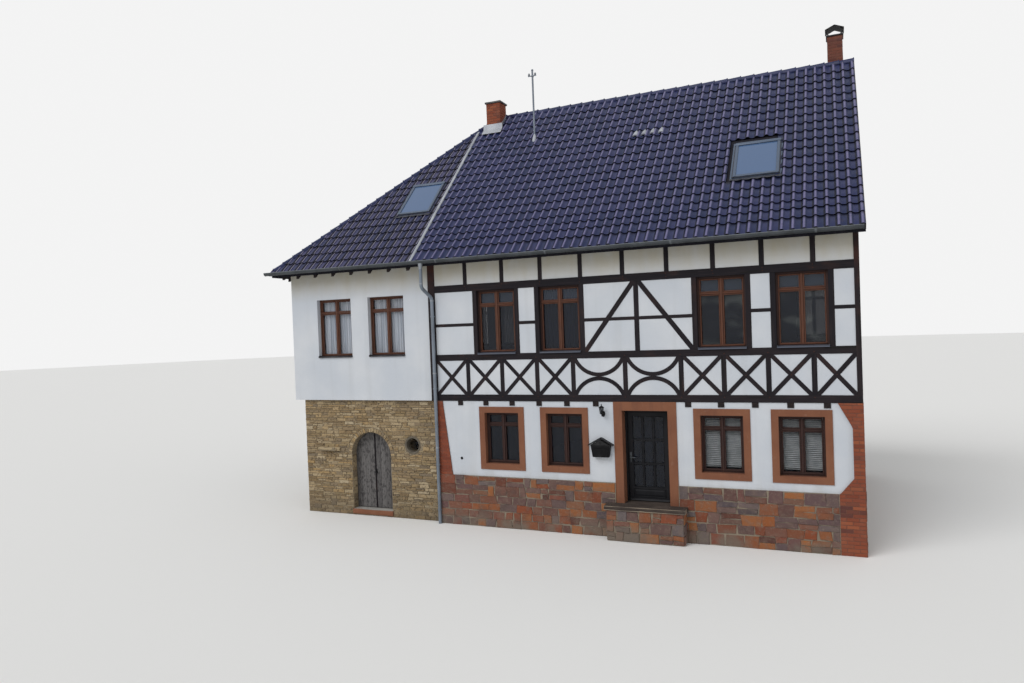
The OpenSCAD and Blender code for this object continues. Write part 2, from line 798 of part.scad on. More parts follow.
function hip_x(z) = roof_left + (z + hip_v - eave_z) / tan(hip_pitch);

// Plan wedges that part the roof along its ridge and hips
module front_wedge() translate([0, 0, eave_z - 1000]) linear_extrude(ridge_z) polygon([
    [roof_left, -eave_out], [roof_right, -eave_out], [roof_right, ridge_y], [apex_x, ridge_y]]);

module back_wedge() translate([0, 0, eave_z - 1000]) linear_extrude(ridge_z) polygon([
    [roof_left, depth + eave_out], [apex_x, ridge_y], [roof_right, ridge_y], [roof_right, depth + eave_out]]);

module hip_wedge() translate([0, 0, eave_z - 1000]) linear_extrude(ridge_z) polygon([
    [roof_left, -eave_out], [apex_x, ridge_y], [roof_left, depth + eave_out]]);

// Puts its children on the front slope, z square to the tiles
module on_slope(x, y) translate([x, y, eave_z + (y + eave_out) * tan(pitch)]) rotate([pitch, 0, 0]) children();

module sky_holes() for (x = [wing_sky_x, sky_x]) on_slope(x, sky_y)
    translate([-sky_w / 2, -sky_l / 2, -3 * roof_t]) cube([sky_w, sky_l, 6 * roof_t]);

module roof_front() color("#2b2b38") place() difference() {
    intersection() {
        roof_shell();
        front_wedge();
    }
    sky_holes();
    left_stack_block(0);
}

module roof_back() color("#2b2b38") place() difference() {
    intersection() {
        roof_shell();
        back_wedge();
    }
    right_stack_block(0);
}

module roof_hip() color("#2b2b38") place() difference() {
    intersection() {
        roof_shell();
        hip_wedge();
    }
    left_stack_block(0);
}

module left_stack_block(z1) block([left_stack_x, left_stack_y, head_top],
    [left_stack_x + left_stack_w, left_stack_y + left_stack_w, z1 > 0 ? z1 : ridge_z + eave_z]);

module right_stack_block(z1) block([main_len - right_stack_in - right_stack_w, right_stack_y, head_top],
    [main_len - right_stack_in, right_stack_y + right_stack_w, z1 > 0 ? z1 : ridge_z + eave_z]);

module flue(x, y, w, top) translate([x + w / 2 - flue_w / 2, y + w / 2 - flue_w / 2, top - 600])
    cube([flue_w, flue_w, 600 + eps]);

left_stack_top = ridge_z + left_stack_rise;
right_stack_top = ridge_z + right_stack_rise;

module chimney_stacks() color("#a8492f") place() {
    difference() {
        left_stack_block(left_stack_top);
        flue(left_stack_x, left_stack_y, left_stack_w, left_stack_top);
    }
    difference() {
        right_stack_block(right_stack_top);
        flue(main_len - right_stack_in - right_stack_w, right_stack_y, right_stack_w, right_stack_top);
    }
}

// A flat slab on the left stack and a bent metal cowl on legs on the right one
slab_over = 40;
slab_h = 55;
cowl_leg = 190;
module chimney_caps() color("#4a4a4a") place() {
    translate([left_stack_x - slab_over, left_stack_y - slab_over, left_stack_top]) difference() {
        cube([left_stack_w + 2 * slab_over, left_stack_w + 2 * slab_over, slab_h]);
        translate([slab_over + (left_stack_w - flue_w) / 2, slab_over + (left_stack_w - flue_w) / 2, -eps])
            cube([flue_w, flue_w, slab_h + 2 * eps]);
    }
    translate([main_len - right_stack_in - right_stack_w, right_stack_y, right_stack_top]) {
        for (x = [20, right_stack_w - 50], y = [20, right_stack_w - 50])
            translate([x, y, 0]) cube([30, 30, cowl_leg]);
        translate([-50, 0, cowl_leg]) rotate([90, 0, 90]) linear_extrude(right_stack_w + 100) polygon([
            [-50, 0], [right_stack_w + 50, 0], [right_stack_w + 50, 12], [right_stack_w / 2, 100], [-50, 12]]);
    }
}

// Short timbers under the wing's eaves, cut to the slope
tail_in = 30;
tail_low = plate_top - (eave_out - tail_in) * tan(pitch) - tail_h;
module tail(wall) polygon([
    [-eave_out + tail_in, tail_low], [wall, tail_low + (wall + eave_out - tail_in) * tan(pitch)],
    [wall, plate_top + wall * tan(pitch)], [-eave_out + tail_in, plate_top - (eave_out - tail_in) * tan(pitch)]]);

tail_off = 105;
module eave_tails() for (i = [0:7]) {
    x = max(-wing_len, -wing_len - tail_off + i * tail_step);
    sideways(x, x + tail_w) tail(wing_in);
}

side_low = side_top - (eave_out - tail_in) * tan(hip_pitch) - tail_h;
module side_tails() for (y = [tail_step / 2:tail_step:depth - tail_w]) upright(y, y + tail_w) polygon([
    [-wing_len - eave_out + tail_in, side_low], [-wing_len, side_low + (eave_out - tail_in) * tan(hip_pitch)],
    [-wing_len, side_top], [-wing_len - eave_out + tail_in, side_top - (eave_out - tail_in) * tan(hip_pitch)]]);

module rafter_tails() color("#3a2c24") place() intersection() {
    union() {
        eave_tails();
        translate([0, depth, 0]) mirror([0, 1, 0]) eave_tails();
        side_tails();
    }
    translate([0, 0, -2 * seat]) roof_inside();
}

// Half round tiles along the ridge and both hips
module ridge_caps() color("#26262f") place() difference() {
    union() {
        translate([apex_x, ridge_y, ridge_z - cap_r / 3]) rotate([0, 90, 0]) cylinder(r = cap_r, h = roof_right - apex_x);
        for (y = [-eave_out, depth + eave_out]) hip_cap(y);
    }
    roof_body();
    left_stack_block(0);
    right_stack_block(0);
    stack_apron(left_stack_x, left_stack_y, left_stack_w);
}

// A row of hip tiles from a corner of the eaves, ended short of the ridge
module hip_cap(y) {
    run = [apex_x - roof_left, ridge_y - y, ridge_z - eave_z];
    translate([roof_left, y, eave_z - cap_r / 2])
        rotate([0, acos(run[2] / norm(run)), atan2(run[1], run[0])])
        translate([0, 0, 2 * cap_r]) cylinder(r = cap_r, h = norm(run) - 4 * cap_r);
}

// Half round gutters along the eaves
module gutter_profile() difference() {
    circle(gutter_r);
    circle(gutter_r - gutter_t);
    translate([-2 * gutter_r, 0]) square([4 * gutter_r, 2 * gutter_r]);
}

gutter_z = eave_z - 5;
module gutters() color("#8f9698") place() {
    for (y = [-eave_out - gutter_r, depth + eave_out + gutter_r])
        translate([-wing_len - gutter_out, y, gutter_z]) rotate([90, 0, 90]) linear_extrude(gutter_out + wing_len + main_len + 100)
            gutter_profile();
    translate([-wing_len - eave_out - gutter_r, depth + eave_out - 2, gutter_z]) rotate([90, 0, 0])
        linear_extrude(depth + 2 * eave_out - 4) gutter_profile();
}

module pipe_run(a, b, r) {
    run = b - a;
    translate(a) rotate([0, acos(run[2] / norm(run)), atan2(run[1], run[0])]) cylinder(r = r, h = norm(run));
}

// The pipe's neck leads from the gutter's outlet back to the wall
pipe_y = -plinth_out - pipe_r - 5;
neck_high = gutter_z - 690;
neck_low = gutter_z - 960;
module downpipe() color("#8f9698") place() {
    points = [[outlet_x, -eave_out - gutter_r, gutter_z - gutter_r], [outlet_x, -eave_out - gutter_r, neck_high],
              [pipe_x, pipe_y, neck_low], [pipe_x, pipe_y, 0]];
    union() {
        for (i = [0:2]) pipe_run(points[i], points[i + 1], pipe_r);
        for (i = [1:2]) translate(points[i]) sphere(pipe_r + 4);
    }
}

module skylights() color("#4b4f55") place() for (x = [wing_sky_x, sky_x]) on_slope(x, sky_y) difference() {
    translate([-sky_w / 2, -sky_l / 2, -roof_t]) cube([sky_w, sky_l, roof_t + sky_up]);
    translate([-sky_w / 2 + sky_frame_w, -sky_l / 2 + sky_frame_w, -roof_t - eps])
        cube([sky_w - 2 * sky_frame_w, sky_l - 2 * sky_frame_w, roof_t + sky_up + 2 * eps]);
}

// The seam ends under the hip tiles
seam_end = ridge_y - (apex_x - seam_x + seam_w / 2) * (ridge_y + eave_out) / hip_run - 1.6 * cap_r;
module roof_metalwork() color("#9aa0a3") place() {
    difference() {
        union() {
            on_slope(seam_x - seam_w / 2, -eave_out) translate([0, 0, -sunk]) cube([seam_w, (seam_end + eave_out) / cos(pitch), seam_h + sunk]);
            on_slope(roof_step_x - roof_step_len / 2, roof_step_y) translate([0, 0, -sunk]) cube([roof_step_len, 60, 90 + sunk]);
            stack_apron(left_stack_x, left_stack_y, left_stack_w);
            mast_foot();
        }
        roof_body();
        left_stack_block(0);
        translate([mast_x, mast_y, eave_z]) cylinder(r = mast_r, h = ridge_z);
    }
}

// Depth that cut pieces reach into the roof before it is taken away
sunk = 20;

// Zinc that stands up round the left stack, lower at its front
apron_t = 12;
apron_up = 190;
module stack_apron(x, y, w) {
    foot = eave_z + (y + eave_out) * tan(pitch);
    block([x - apron_t, y - apron_t, foot - w], [x + w + apron_t, y + w / 2, foot + apron_up]);
}

mast_foot_r = 110;
mast_foot_h = 150;
module mast_foot() translate([mast_x, mast_y, eave_z + (mast_y + eave_out) * tan(pitch) - mast_foot_r])
    cylinder(r1 = 2 * mast_foot_r, r2 = mast_r + 12, h = mast_foot_r + mast_foot_h);

// The mast with its cap, and a cross arm with two insulators
arm_t = 24;
mast_top = ridge_z + mast_rise;
module aerial_mast() color("#8f9698") place() {
    z0 = eave_z + (mast_y + eave_out) * tan(pitch);
    difference() {
        union() {
            translate([mast_x, mast_y, z0 - 4 * mast_r]) cylinder(r = mast_r, h = mast_top - z0 + 4 * mast_r);
            translate([mast_x, mast_y, mast_top - arm_t]) cylinder(r = mast_r + 8, h = arm_t);
            translate([mast_x - mast_arm / 2, mast_y - arm_t / 2, mast_top - 9 * arm_t]) cube([mast_arm, arm_t, arm_t]);
            for (x = [mast_x - mast_arm / 2 + insulator_r, mast_x + mast_arm / 2 - insulator_r])
                translate([x, mast_y, mast_top - 8 * arm_t]) cylinder(r1 = insulator_r, r2 = insulator_r * 0.6, h = 3 * arm_t);
        }
        roof_body();
    }
}

// Frame of a window with a middle post and a cross bar, from its lower left corner
module sash(w, h) difference() {
    square([w, h]);
    for (side = [0, 1]) {
        x0 = side == 0 ? sash_w : (w + sash_w) / 2;
        cross = h * (1 - light_share);
        translate([x0, sash_w]) square([(w - 3 * sash_w) / 2, cross - 1.5 * sash_w]);
        translate([x0, cross + sash_w / 2]) square([(w - 3 * sash_w) / 2, h - cross - 1.5 * sash_w]);
    }
}

module each_ground_window() for (x = ground_win_x)
    translate([x - ground_win_w / 2, ground_win_z]) children();

module ground_window_frames() color("#4a3128") place() {
    upright(deep_set, deep_set + sash_d) each_ground_window() sash(ground_win_w, ground_win_h);
    upright(depth - deep_set - sash_d, depth - deep_set) each_ground_window() sash(ground_win_w, ground_win_h);
    sideways(main_len - deep_set - sash_d, main_len - deep_set) for (y = gable_win_y)
        translate([y - ground_win_w / 2, ground_win_z]) sash(ground_win_w, ground_win_h);
}

module each_upper_window() for (x = upper_win_x)
    translate([x - upper_win_w / 2, breast_top]) children();

module each_wing_window() for (x = wing_win_x)
    translate([x - wing_win_w / 2, breast_top]) children();

module upper_window_frames() color("#4a3128") place() {
    upright(upper_set, upper_set + sash_d) each_upper_window() sash(upper_win_w, upper_win_h);
    upright(depth - upper_set - sash_d, depth - upper_set) each_upper_window() sash(upper_win_w, upper_win_h);
    upright(wing_in + deep_set, wing_in + deep_set + sash_d) each_wing_window() sash(wing_win_w, upper_win_h);
    upright(depth - wing_in - deep_set - sash_d, depth - wing_in - deep_set) each_wing_window() sash(wing_win_w, upper_win_h);
    sideways(main_len - upper_set - sash_d, main_len - upper_set) for (y = gable_win_y)
        translate([y - upper_win_w / 2, breast_top]) sash(upper_win_w, upper_win_h);
    sideways(-wing_len + deep_set, -wing_len + deep_set + sash_d) for (y = gable_win_y)
        translate([y - wing_win_w / 2, breast_top]) sash(wing_win_w, upper_win_h);
}

// Folded metal sills in front of the upper window frames
module sill_plate(x, w, y0, y1) block([x - w / 2, y0, breast_top], [x + w / 2, y1, breast_top + sill_plate_h]);

module window_sills() color("#4a4d52") place() {
    for (x = upper_win_x) {
        sill_plate(x, upper_win_w, -sill_plate_out, upper_set);
        sill_plate(x, upper_win_w, depth - upper_set, depth + sill_plate_out);
    }
    for (x = wing_win_x) {
        sill_plate(x, wing_win_w, wing_in - sill_plate_out, wing_in + deep_set);
        sill_plate(x, wing_win_w, depth - wing_in - deep_set, depth - wing_in + sill_plate_out);
    }
    for (y = gable_win_y) {
        block([main_len - upper_set, y - upper_win_w / 2, breast_top], [main_len + sill_plate_out, y + upper_win_w / 2, breast_top + sill_plate_h]);
        block([-wing_len - sill_plate_out, y - wing_win_w / 2, breast_top], [-wing_len + deep_set, y + wing_win_w / 2, breast_top + sill_plate_h]);
    }
}

// One pane behind the bars of each window
module window_glass() color("#5d6b75") place() {
    pane_y = deep_set + sash_d;
    upright(pane_y, pane_y + pane_t) each_ground_window() square([ground_win_w, ground_win_h]);
    upright(depth - pane_y - pane_t, depth - pane_y) each_ground_window() square([ground_win_w, ground_win_h]);
    upright(upper_set + sash_d, upper_set + sash_d + pane_t) each_upper_window() square([upper_win_w, upper_win_h]);
    upright(depth - upper_set - sash_d - pane_t, depth - upper_set - sash_d) each_upper_window()
        square([upper_win_w, upper_win_h]);
    upright(wing_in + pane_y, wing_in + pane_y + pane_t) each_wing_window() square([wing_win_w, upper_win_h]);
    upright(depth - wing_in - pane_y - pane_t, depth - wing_in - pane_y) each_wing_window()
        square([wing_win_w, upper_win_h]);
    sideways(main_len - pane_y - pane_t, main_len - pane_y) for (y = gable_win_y)
        translate([y - ground_win_w / 2, ground_win_z]) square([ground_win_w, ground_win_h]);
    sideways(main_len - upper_set - sash_d - pane_t, main_len - upper_set - sash_d) for (y = gable_win_y)
        translate([y - upper_win_w / 2, breast_top]) square([upper_win_w, upper_win_h]);
    sideways(-wing_len + pane_y, -wing_len + pane_y + pane_t) for (y = gable_win_y)
        translate([y - wing_win_w / 2, breast_top]) square([wing_win_w, upper_win_h]);
    for (x = [wing_sky_x, sky_x]) on_slope(x, sky_y)
        translate([-sky_w / 2 + sky_frame_w, -sky_l / 2 + sky_frame_w, sky_up - 2 * pane_t])
            cube([sky_w - 2 * sky_frame_w, sky_l - 2 * sky_frame_w, pane_t]);
    translate([eye_x, stone_in + surround_d + pane_t, eye_z]) rotate([90, 0, 0]) cylinder(r = eye_r, h = pane_t);
}

module lamp() color("#1c1c1c") place() translate([lamp_x, plaster_in, slope_rise + lamp_rise]) {
    translate([-30, -20, 120]) cube([60, 20, 160]);
    translate([-12, -150, 230]) cube([24, 130.5, 24]);
    translate([0, -150, 60]) cylinder(r = 55, h = 170);
    translate([0, -150, 229.9]) cylinder(r = 20, h = 60);
}

box_roof_w = door_left - jamb_w - box_gap - box_left;
box_w = box_roof_w * 0.71;
box_h = 290;
box_d = 150;
module letter_box() color("#1c1c1c") place() translate([box_x, plaster_in - box_d, slope_rise + box_rise])
    rotate([90, 0, 0]) translate([0, 0, -box_d]) linear_extrude(box_d) polygon([
        [-box_w / 2 + 15, 0], [box_w / 2 - 15, 0], [box_w / 2, box_h - 10], [box_roof_w / 2, box_h - 10],
        [box_roof_w / 2, box_h + 10], [0, box_h + 170], [-box_roof_w / 2, box_h + 10],
        [-box_roof_w / 2, box_h - 10], [-box_w / 2, box_h - 10]]);

// Heights of the hinges over the foot of a leaf
door_hinges = [220, 1030, 1840];
cellar_hinges = [250, 1250];

// A pin on its bracket; the arm of the bracket is a block from the axis by reach
bracket_h = 20;
module pin(x, y, z, reach) {
    translate([x, y, z - bracket_h]) cylinder(r = knuckle_r, h = bracket_h - pin_gap);
    translate([x, y, z - bracket_h]) cylinder(r = pin_r, h = bracket_h + knuckle_h + 10);
    block([min(x, x + reach[0]), min(y, y + reach[1]), z - bracket_h],
          [max(x, x + reach[0]), max(y, y + reach[1]), z - pin_gap]);
}

// A strap on the back of a leaf with its knuckle, from the axis to x1
strap_t = 8;
module strap(x, y, z, x1) difference() {
    union() {
        translate([x, y, z]) cylinder(r = knuckle_r, h = knuckle_h);
        block([min(x, x1), y - knuckle_r - 2, z], [max(x, x1), y - knuckle_r - 2 + strap_t, z + knuckle_h]);
    }
    translate([x, y, z - eps]) cylinder(r = pin_r + pin_gap, h = knuckle_h + 2 * eps);
}

module door_frame() color("#2a211c") place() {
    difference() {
        block([door_left, door_set, floor_z], [door_right, door_set + door_frame_d, floor_z + door_h]);
        block([door_left + door_frame_w, door_set - eps, floor_z - eps],
              [door_right - door_frame_w, door_set + door_frame_d + eps, floor_z + door_h - door_frame_w]);
    }
    for (z = door_hinges) pin(door_axis_x, door_axis_y, floor_z + z, [knuckle_r, door_set + door_frame_d - door_axis_y]);
}

door_leaf_w = door_w - 2 * door_frame_w - 2 * leaf_gap;
door_leaf_h = door_h - door_frame_w - 2 * leaf_gap;
stile_w = 115;
kick_h = 340;
door_bar = 34;
module front_door() color("#141414") place() {
    x0 = door_left + door_frame_w + leaf_gap;
    y1 = door_set + door_frame_d;
    difference() {
        block([x0, y1 - leaf_t, floor_z + leaf_gap], [x0 + door_leaf_w, y1, floor_z + leaf_gap + door_leaf_h]);
        for (i = [0:2], j = [0:2]) {
            w = (door_leaf_w - 2 * stile_w - 2 * door_bar) / 3;
            h = (door_leaf_h - kick_h - stile_w - 2 * door_bar) / 3;
            block([x0 + stile_w + i * (w + door_bar), y1 - leaf_t - eps, floor_z + leaf_gap + kick_h + j * (h + door_bar)],
                  [x0 + stile_w + i * (w + door_bar) + w, y1 - 14, floor_z + leaf_gap + kick_h + j * (h + door_bar) + h]);
        }
    }
    for (z = door_hinges) strap(door_axis_x, door_axis_y, floor_z + z, door_axis_x - 160);
    door_handle(x0 + stile_w / 2, y1 - leaf_t, floor_z + 1050, -1);
    door_handle(x0 + stile_w / 2, y1, floor_z + 1050, 1);
}

// A lever on its plate, on the face at y that looks along side
module door_handle(x, y, z, side) {
    block([x - 22, min(y, y + side * 8), z - 120], [x + 22, max(y, y + side * 8), z + 120]);
    block([x - 8, min(y, y + side * 55), z - 8], [x + 8, max(y, y + side * 55), z + 8]);
    block([x - 8, min(y + side * 40, y + side * 55), z - 8], [x + 120, max(y + side * 40, y + side * 55), z + 8]);
}

// One leaf of the cellar door; side is -1 on the left and 1 on the right
module cellar_leaf(side) {
    axis_x = arch_x + side * cellar_axis_dx;
    for (z = cellar_hinges) strap(axis_x, cellar_axis_y, cellar_floor_z + z, axis_x - side * 560);
    intersection() {
        upright(cellar_face, cellar_face + cellar_leaf_t) union() {
            area(arch_x - arch_r - lap, cellar_floor_z + leaf_gap, arch_x + arch_r + lap, arch_spring);
            translate([arch_x, arch_spring]) circle(arch_r + lap);
        }
        block([side < 0 ? arch_x - 2 * arch_r : arch_x + seam_gap, cellar_face - eps, 0],
              [side < 0 ? arch_x - seam_gap : arch_x + 2 * arch_r, cellar_face + cellar_leaf_t + eps, ridge_z]);
    }
}

module cellar_pins() color("#3a3632") place() for (side = [-1, 1], z = cellar_hinges)
    pin(arch_x + side * cellar_axis_dx, cellar_axis_y, cellar_floor_z + z,
        [side * (arch_r + recess - cellar_axis_dx), knuckle_r]);

module cellar_door_left() color("#77705f") place() cellar_leaf(-1);
module cellar_door_right() color("#77705f") place() cellar_leaf(1);

plinth();
ground_wall_left();
ground_wall_right();
ground_gable_wall();
ground_back_wall();
ground_cross_wall();
brick_corner_right();
brick_pier_left();
window_surrounds();
door_jambs();
door_lintel();
door_sill();
door_step();
ground_floor();
floor_joists();
upper_floor();
attic_floor();
front_frame();
front_infill();
gable_frame();
gable_infill();
back_frame();
back_infill();
stone_wall_left();
stone_wall_right();
stone_wall_over_arch();
stone_side_wall();
stone_back_wall();
cellar_floor();
wing_front_wall();
wing_side_wall();
wing_back_wall();
roof_front();
roof_back();
roof_hip();
rafter_tails();
ridge_caps();
gutters();
downpipe();
skylights();
chimney_stacks();
chimney_caps();
roof_metalwork();
aerial_mast();
ground_window_frames();
upper_window_frames();
window_sills();
window_glass();
lamp();
letter_box();
door_frame();
front_door();
cellar_pins();
cellar_door_left();
cellar_door_right();
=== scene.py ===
import math
import random

import bmesh
import bpy
from mathutils import Matrix, Vector, noise


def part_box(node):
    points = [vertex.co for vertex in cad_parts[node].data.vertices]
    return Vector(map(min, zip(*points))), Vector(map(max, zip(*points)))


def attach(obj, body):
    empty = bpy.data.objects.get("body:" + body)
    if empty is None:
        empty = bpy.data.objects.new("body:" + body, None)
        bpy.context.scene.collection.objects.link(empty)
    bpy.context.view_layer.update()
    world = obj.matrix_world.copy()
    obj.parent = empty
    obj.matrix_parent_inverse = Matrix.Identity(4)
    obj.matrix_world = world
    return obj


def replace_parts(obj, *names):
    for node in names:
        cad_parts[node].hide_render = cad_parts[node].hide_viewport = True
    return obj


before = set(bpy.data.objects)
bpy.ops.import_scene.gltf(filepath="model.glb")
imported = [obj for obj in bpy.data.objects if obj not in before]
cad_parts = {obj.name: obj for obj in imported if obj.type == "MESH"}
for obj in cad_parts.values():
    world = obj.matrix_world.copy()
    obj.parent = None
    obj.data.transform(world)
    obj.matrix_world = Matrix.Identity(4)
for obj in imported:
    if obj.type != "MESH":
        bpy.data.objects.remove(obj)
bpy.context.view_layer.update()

# The camera stands across the street to the right of the house, looks a little left and
# down at it and leans a little, as the photo does. The floor is pale paper in soft light.
camera_at, lens_mm, sensor_mm = (7.177, -21.668, 5.069), 26.016, 36
yaw, pitch_down, lean = math.radians(23.7286), math.radians(-0.9869), math.radians(-2.1285)
camera = bpy.data.objects.new("camera", bpy.data.cameras.new("camera"))
camera.data.sensor_width, camera.data.lens, camera.data.clip_end = sensor_mm, lens_mm, 500
camera.matrix_world = (Matrix.Translation(camera_at) @ Matrix.Rotation(yaw, 4, "Z")
                       @ Matrix.Rotation(math.pi / 2 + pitch_down, 4, "X") @ Matrix.Rotation(lean, 4, "Z"))
bpy.context.scene.collection.objects.link(camera)
bpy.context.scene.camera = camera
bpy.context.scene.view_settings.view_transform = "Standard"


class Wire:
    """A socket in a material, which adds and multiplies like a number."""

    def __init__(self, tree, socket=None):
        self.tree, self.socket = tree, socket

    def node(self, kind, settings={}, sockets={}, out=0):
        made = self.tree.nodes.new("ShaderNode" + kind)
        for key, value in settings.items():
            if key == "stops":
                ramp = made.color_ramp
                while len(ramp.elements) < len(value):
                    ramp.elements.new(0.5)
                for stop, (at, tint) in zip(ramp.elements, value):
                    stop.position, stop.color = at, (*tint, 1)
            else:
                setattr(made, key, value)
        for key, value in sockets.items():
            if isinstance(value, Wire):
                self.tree.links.new(value.socket, made.inputs[key])
            else:
                made.inputs[key].default_value = value
        return Wire(self.tree, made.outputs[out])

    def maths(self, operation, a, b=0):
        return self.node("Math", {"operation": operation}, {0: a, 1: b})

    def __add__(self, other): return self.maths("ADD", self, other)
    def __radd__(self, other): return self.maths("ADD", other, self)
    def __sub__(self, other): return self.maths("SUBTRACT", self, other)
    def __rsub__(self, other): return self.maths("SUBTRACT", other, self)
    def __mul__(self, other): return self.maths("MULTIPLY", self, other)
    def __rmul__(self, other): return self.maths("MULTIPLY", other, self)
    def __gt__(self, other): return self.maths("GREATER_THAN", self, other)
    def __lt__(self, other): return self.maths("LESS_THAN", self, other)

    def step(self, low, high):
        """0 under low, 1 over high, smooth between."""
        return self.node("MapRange", {"interpolation_type": "SMOOTHSTEP"}, {0: self, 1: low, 2: high})

    def blend(self, first, second):
        """Colour from first to second as this number goes from 0 to 1."""
        first, second = (c if isinstance(c, Wire) else (*c, 1) for c in (first, second))
        return self.node("Mix", {"data_type": "RGBA"}, {0: self, 6: first, 7: second}, 2)

    def noise(self, scale, detail=4, stretch=(1, 1, 1), at=None):
        at = at or self.node("TexCoord", out=3)
        at = self.node("VectorMath", {"operation": "MULTIPLY"}, {0: at, 1: stretch})
        return self.node("TexNoise", {}, {"Vector": at, "Scale": scale, "Detail": detail})

    def place(self, axis):
        """Where a point lies along axis 0, 1 or 2."""
        return self.node("SeparateXYZ", {}, {0: self.node("TexCoord", out=3)}, axis)

    def ramp(self, *stops):
        """Colour by this number, from places and the colours at them."""
        return self.node("ValToRGB", {"stops": stops}, {"Fac": self})

    def attribute(self, name, out=2):
        return self.node("Attribute", {"attribute_name": name}, out=out)

    def bump(self, distance, strength=1.0):
        return self.node("Bump", {}, {"Height": self, "Distance": distance, "Strength": strength})


def material(name, draw):
    """A material whose shader gets what draw returns for its sockets."""
    made = bpy.data.materials.new(name)
    made.use_nodes = True
    tree = made.node_tree
    shader = tree.nodes["Principled BSDF"]
    for key, value in draw(Wire(tree)).items():
        if isinstance(value, Wire):
            tree.links.new(value.socket, shader.inputs[key])
        else:
            shader.inputs[key].default_value = value
    return made


floor_paper = material("floor_paper", lambda w: {"Base Color": (0.80, 0.80, 0.79, 1), "Roughness": 0.95})
bpy.ops.mesh.primitive_circle_add(vertices=64, radius=180, fill_type="NGON", location=(0, 0, -0.002))
floor = bpy.context.object
floor.name = "floor"
floor.data.materials.append(floor_paper)

world = bpy.data.worlds.new("studio")
world.use_nodes = True
bpy.context.scene.world = world
air = Wire(world.node_tree)
seen = [air.node("LightPath", out=name) for name in ("Is Camera Ray", "Is Glossy Ray", "Is Transmission Ray")]
backdrop = air.maths("MINIMUM", seen[0] + seen[1] + seen[2], 1.0)
background = world.node_tree.nodes["Background"]
world.node_tree.links.new((backdrop * 0.40 + 0.50).socket, background.inputs["Strength"])
background.inputs["Color"].default_value = (1, 1, 1, 1)
for name, turn, strength, wide in (("key", (48, 0, -30), 1.55, 40), ("fill", (60, 0, 70), 0.35, 60)):
    lamp = bpy.data.objects.new(name, bpy.data.lights.new(name, "SUN"))
    lamp.data.energy, lamp.data.angle = strength, math.radians(wide)
    lamp.rotation_euler = [math.radians(a) for a in turn]
    bpy.context.scene.collection.objects.link(lamp)


# The rubble plinth of the ground storey: split red, orange and purple sandstones of all
# shapes, laid in beige lime mortar that is pointed nearly flush, with rough split faces.
random.seed(11)
main_len, depth, plinth_top, sill_z = 10.35, 9.2, 1.30, 3.24
house_left, wing_left, front_y = -2.710, -7.260, -depth / 2
house_right = house_left + main_len
door_left, door_right, jamb = 5.155, 6.240, 0.205
shifted = lambda x=0, z=0, out=0: Matrix.Translation((x, z, out))


def wall_face(across, out, corner_x, corner_y):
    """The face of a wall: along it, up it, and out of it."""
    face = Matrix((across, (0, 0, 1), out)).transposed().to_4x4()
    face.translation = corner_x, corner_y, 0
    return face


front = wall_face((1, 0, 0), (0, -1, 0), house_left, front_y)
gable = wall_face((0, 1, 0), (1, 0, 0), house_right, front_y)
back = wall_face((-1, 0, 0), (0, 1, 0), house_right, -front_y)
wing_end = wall_face((0, -1, 0), (-1, 0, 0), wing_left, -front_y)


